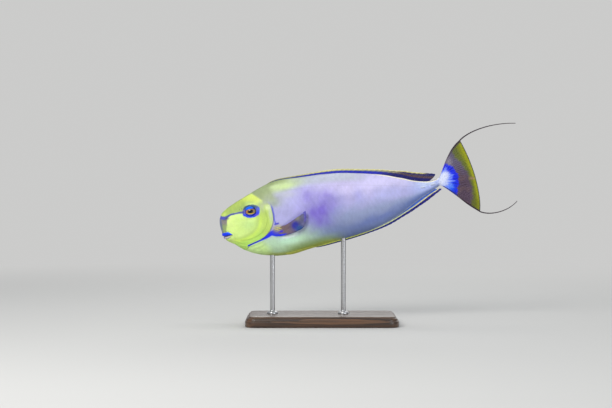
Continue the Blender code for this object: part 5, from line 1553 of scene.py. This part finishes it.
# --------------------------------------------------------------------------
# Stand
# --------------------------------------------------------------------------
def wood_material():
    mat, nt, bsdf = new_material("dark_hardwood")
    where = add(nt, "ShaderNodeTexCoord").outputs["Object"]
    stretch = add(nt, "ShaderNodeMapping")
    stretch.inputs["Scale"].default_value = (1.0, 9.0, 9.0)
    nt.links.new(where, stretch.inputs["Vector"])
    warp = noise(nt, stretch.outputs[0], 3.0, 3.0)
    mixv = add(nt, "ShaderNodeVectorMath", operation="MULTIPLY_ADD")
    mixv.inputs[1].default_value = (0.30, 0.30, 0.30)
    nt.links.new(warp.outputs["Color"], mixv.inputs[0])
    nt.links.new(stretch.outputs[0], mixv.inputs[2])
    rings = add(nt, "ShaderNodeTexWave", wave_type="BANDS", bands_direction="Y", wave_profile="SAW")
    rings.inputs["Scale"].default_value = 3.2
    rings.inputs["Distortion"].default_value = 2.2
    rings.inputs["Detail"].default_value = 3.0
    nt.links.new(mixv.outputs[0], rings.inputs["Vector"])
    pores_map = add(nt, "ShaderNodeMapping")
    pores_map.inputs["Scale"].default_value = (14.0, 420.0, 420.0)
    nt.links.new(where, pores_map.inputs["Vector"])
    pores = noise(nt, pores_map.outputs[0], 1.0, 2.0)
    ramp = add(nt, "ShaderNodeValToRGB")
    ramp.color_ramp.elements[0].color = (0.036, 0.016, 0.008, 1)
    ramp.color_ramp.elements[1].color = (0.125, 0.060, 0.028, 1)
    ramp.color_ramp.elements[1].position = 0.85
    nt.links.new(rings.outputs["Fac"], ramp.inputs["Fac"])
    col = shade_by(nt, ramp.outputs["Color"], remap(nt, pores.outputs["Fac"], 0.35, 0.6, 0.55, 1.08))
    nt.links.new(col, bsdf.inputs["Base Color"])
    nt.links.new(remap(nt, pores.outputs["Fac"], 0.3, 0.7, 0.48, 0.34), bsdf.inputs["Roughness"])
    bsdf.inputs["Coat Weight"].default_value = 0.35
    bsdf.inputs["Coat Roughness"].default_value = 0.18
    nt.links.new(bump(nt, pores.outputs["Fac"], 0.25, 0.00025), bsdf.inputs["Normal"])
    return mat


def steel_material():
    mat, nt, bsdf = new_material("brushed_steel")
    where = add(nt, "ShaderNodeTexCoord").outputs["Object"]
    lines = add(nt, "ShaderNodeMapping")
    lines.inputs["Scale"].default_value = (60.0, 60.0, 5200.0)
    nt.links.new(where, lines.inputs["Vector"])
    turn = noise(nt, lines.outputs[0], 1.0, 2.0)
    ramp = add(nt, "ShaderNodeValToRGB")
    ramp.color_ramp.elements[0].color = (0.42, 0.42, 0.43, 1)
    ramp.color_ramp.elements[1].color = (0.64, 0.64, 0.65, 1)
    nt.links.new(turn.outputs["Fac"], ramp.inputs["Fac"])
    nt.links.new(ramp.outputs["Color"], bsdf.inputs["Base Color"])
    nt.links.new(remap(nt, turn.outputs["Fac"], 0.3, 0.7, 0.24, 0.40), bsdf.inputs["Roughness"])
    bsdf.inputs["Metallic"].default_value = 1.0
    nt.links.new(bump(nt, turn.outputs["Fac"], 0.10, 0.00005), bsdf.inputs["Normal"])
    return mat


def make_base(mat):
    """Rounded slab with a cove and a bead worked along its upper edge."""
    lo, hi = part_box("stand_base")
    cx, cy = (lo.x + hi.x) / 2, (lo.y + hi.y) / 2
    hx, hy, top = (hi.x - lo.x) / 2, (hi.y - lo.y) / 2, hi.z
    corner = 0.018
    turn = np.radians(np.linspace(0, 90, 15))
    outline = []
    for qx, qy, start in ((1, 1, 0), (-1, 1, 90), (-1, -1, 180), (1, -1, 270)):
        a = turn + math.radians(start)
        outline.append(np.stack((qx * (hx - corner) + corner * np.cos(a),
                                 qy * (hy - corner) + corner * np.sin(a),
                                 np.cos(a), np.sin(a)), 1))
    outline = np.vstack(outline)
    # inset from the outline, height: a foot shadow line, straight side, cove, top
    prof = [(0.0030, lo.z), (0.0012, lo.z + 0.0004), (0.0004, lo.z + 0.0012), (0.0, lo.z + 0.0024),
            (0.0, lo.z + 0.0094), (0.0003, lo.z + 0.0104), (0.0011, lo.z + 0.0110), (0.0020, lo.z + 0.0112)]
    for k in np.linspace(0, 1, 8)[1:]:
        a = k * math.pi / 2
        prof.append((0.0020 + 0.0032 * (1 - math.cos(a)), lo.z + 0.0112 + 0.0044 * math.sin(a)))
    prof += [(0.0058, top - 0.0018), (0.0062, top - 0.0008), (0.0070, top - 0.0002), (0.0082, top)]
    rings = []
    for inset, z in prof:
        rings.append(np.stack((cx + outline[:, 0] - outline[:, 2] * inset,
                               cy + outline[:, 1] - outline[:, 3] * inset,
                               np.full(len(outline), z)), 1))
    n = len(outline)
    verts = np.vstack(rings)
    quads = grid_quads(len(rings), n, flip=False)
    low_face = np.arange(n)[::-1][None, :]
    top_face = ((len(rings) - 1) * n + np.arange(n))[None, :]
    obj = build("plinth", verts, [quads, low_face, top_face], smooth_shade=True)
    obj.data.set_sharp_from_angle(angle=math.radians(35))
    return finish_piece(obj, mat, "stand_base", "stand_base")


def make_rod(node, s0, slot_half, mat):
    """A fine turned rod whose top is shaped to the belly, on a stepped foot."""
    lo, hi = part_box(node)
    cx, cy = (lo.x + hi.x) / 2, (lo.y + hi.y) / 2
    sides = 64
    a = 2 * math.pi * np.arange(sides) / sides
    r_foot = (hi.x - lo.x) / 2
    r = 0.0042
    prof = [(0.0, lo.z), (r_foot - 0.0004, lo.z), (r_foot, lo.z + 0.0004), (r_foot, lo.z + 0.0022),
            (r_foot - 0.0003, lo.z + 0.0027), (r_foot - 0.0010, lo.z + 0.0029), (r_foot - 0.0012, lo.z + 0.0033),
            (r_foot - 0.0018, lo.z + 0.0039), (r + 0.0016, lo.z + 0.0041), (r + 0.0006, lo.z + 0.0045),
            (r + 0.0001, lo.z + 0.0053), (r, lo.z + 0.0062)]
    z_top = hi.z - 0.012
    prof += [(r, z) for z in np.linspace(lo.z + 0.0075, z_top, 24)]
    rings = [np.stack((cx + pr * np.cos(a), cy + pr * np.sin(a), np.full(sides, z)), 1) for pr, z in prof[1:]]
    # top rings close on the belly just above
    def belly_z(x, y):
        """Height of the body's underside over a point, by a few steps."""
        s = np.full(x.shape, s0)
        for _ in range(12):
            low, wd, half, power = station(s)[1], station(s)[3], station(s)[2], station(s)[4]
            c = np.clip(np.abs(y) * 1000 / half, 0, 1) ** (1 / power)
            h = wd - (wd - low) * np.sqrt(1 - c * c)
            s = s + ((x - AXIS_X) * 1000 - (s * CP - h * SP)) / CP
        return AXIS_Z + (s * SP + h * CP) * 0.001
    for k in (1.0, 0.93, 0.70, 0.40, 0.12):
        x, y = cx + r * k * np.cos(a), cy + r * k * np.sin(a)
        z = belly_z(x, y) - 0.0001
        rings.append(np.stack((x, y, z), 1))
    verts = np.vstack(rings + [[[cx, cy, lo.z]], [[cx, cy, rings[-1][:, 2].mean()]]])
    n = len(rings) * sides
    quads = grid_quads(len(rings), sides)
    k0, k1 = np.arange(sides), (np.arange(sides) + 1) % sides
    cap0 = np.stack((np.full(sides, n), k1, k0), 1)
    e = (len(rings) - 1) * sides
    cap1 = np.stack((np.full(sides, n + 1), e + k0, e + k1), 1)
    obj = build(node.replace("stand_", "display_"), verts, [quads, cap0, cap1])
    obj.data.set_sharp_from_angle(angle=math.radians(40))
    return finish_piece(obj, mat, "stand_rod", node)


# --------------------------------------------------------------------------
# Assemble
# --------------------------------------------------------------------------
skin_mat = skin_material()
make_skin(skin_mat)
make_scales(scale_material())
eye_mat = eye_material()
finish_piece(make_eye(-1, "eyeball_left"), eye_mat, "eye", "eye_left")
finish_piece(make_eye(1, "eyeball_right"), eye_mat, "eye", "eye_right")
fin_mat = fin_material("fin_membrane")
make_caudal(fin_mat)
make_streamer("filament_upper", CAUDAL_UPPER, STREAMER_UPPER, "caudal_streamer_upper", fin_mat)
make_streamer("filament_lower", CAUDAL_LOWER, STREAMER_LOWER, "caudal_streamer_lower", fin_mat)
make_dorsal(fin_mat)
make_anal(fin_mat)
bone_mat = bone_material()
for word, hand in (("left", -1), ("right", 1)):
    make_pectoral(hand, "pectoral_fin_" + word, fin_mat)
    make_pelvic(hand, "pelvic_fin_" + word, fin_mat)
    for row in PLATES:
        make_plate(row, hand, "keel_plate_%s_%s" % (word, row[0]), bone_mat)
wood, steel = wood_material(), steel_material()
make_base(wood)
make_rod("stand_rod_front", 80.0, 0.0, steel)
make_rod("stand_rod_rear", 205.0, 1.0, steel)


# --------------------------------------------------------------------------
# Studio
# --------------------------------------------------------------------------
def studio():
    # a round floor, and a plain surround beyond it that rises all round, far enough
    # out for a camera on any side; only the camera sees the surround
    turns = 96
    a = 2 * math.pi * np.arange(turns) / turns
    inner, edge, high = 1.25, 3.3, 6.0

    def revolve(name, prof, far, mat):
        verts = np.array([(r * math.cos(k), r * math.sin(k), z) for r, z in prof for k in a])
        far = np.repeat(smooth(far), turns)
        shade = np.outer(1 - far, rgb(0.62, 0.62, 0.61))
        obj = build(name, verts, [grid_quads(len(prof), turns)], shade, alpha=0.60 * far)
        obj.data.materials.append(mat)
        return obj
    mat, nt, bsdf = new_material("pale_floor")
    nt.links.new(attribute(nt, "paint").outputs["Color"], bsdf.inputs["Base Color"])
    nt.links.new(attribute(nt, "veil").outputs["Fac"], bsdf.inputs["Emission Strength"])
    bsdf.inputs["Emission Color"].default_value = (1.0, 1.0, 0.99, 1)
    bsdf.inputs["Roughness"].default_value = 0.9
    bsdf.inputs["Specular IOR Level"].default_value = 0.0
    radii = np.concatenate(([0.002], np.linspace(0.05, inner, 25)))
    floor = revolve("floor", [(r, 0.0) for r in radii], (radii - 0.7) / 1.3, mat)
    bend = 1.3
    prof = [(r, 0.0) for r in np.linspace(inner, edge - bend, 20)]
    prof += [(edge - bend + bend * math.sin(k), bend - bend * math.cos(k)) for k in np.linspace(0, math.pi / 2, 24)[1:]]
    prof += [(edge, z) for z in np.linspace(bend, high, 12)[1:]]
    surround = revolve("surround", prof, (np.array([r for r, z in prof]) - 0.7) / 1.3, mat)
    surround.visible_diffuse = surround.visible_glossy = surround.visible_shadow = False

    def area(name, place, target, size, power, tint):
        light = bpy.data.lights.new(name, "AREA")
        light.shape = "RECTANGLE"
        light.size, light.size_y = size
        light.energy = power
        light.color = tint
        ob = bpy.data.objects.new(name, light)
        ob.location = place
        ob.rotation_euler = (Vector(target) - Vector(place)).to_track_quat("-Z", "Y").to_euler()
        bpy.context.scene.collection.objects.link(ob)

    area("key", (-0.95, -1.75, 1.30), (0.0, 0.0, 0.19), (1.0, 0.8), 34.0, (1.0, 0.985, 0.96))
    area("fill", (1.5, -1.9, 0.45), (0.05, 0.0, 0.16), (1.2, 0.7), 11.0, (0.94, 0.97, 1.0))
    area("top", (0.1, 0.35, 1.7), (0.0, 0.0, 0.2), (1.8, 0.8), 9.0, (1.0, 1.0, 1.0))
    area("back", (0.4, 2.0, 1.1), (0.0, 0.0, 0.19), (1.5, 1.0), 11.0, (1.0, 0.99, 0.97))
    world_ = bpy.data.worlds.new("studio")
    bpy.context.scene.world = world_
    world_.use_nodes = True
    back_ = world_.node_tree.nodes["Background"]
    back_.inputs["Color"].default_value = (0.86, 0.89, 0.92, 1)
    back_.inputs["Strength"].default_value = 0.42

    # camera: level with the fish, photo's framing at 1.72 mm a pixel
    mm_px = 0.00172
    aim = Vector((AXIS_X + (306 - 220) * mm_px, 0.0, AXIS_Z + (222 - 204) * mm_px))
    lens, sensor = 90.0, 36.0
    far = 612 * mm_px * lens / sensor
    lift = math.radians(1.0)
    cam = bpy.data.cameras.new("camera")
    cam.lens, cam.sensor_width = lens, sensor
    cam.clip_start, cam.clip_end = 0.05, 30.0
    ob = bpy.data.objects.new("camera", cam)
    ob.location = aim + Vector((0.0, -far * math.cos(lift), far * math.sin(lift)))
    ob.rotation_euler = (aim - ob.location).to_track_quat("-Z", "Y").to_euler()
    bpy.context.scene.collection.objects.link(ob)
    bpy.context.scene.camera = ob
    bpy.context.scene.view_settings.view_transform = "Standard"


studio()
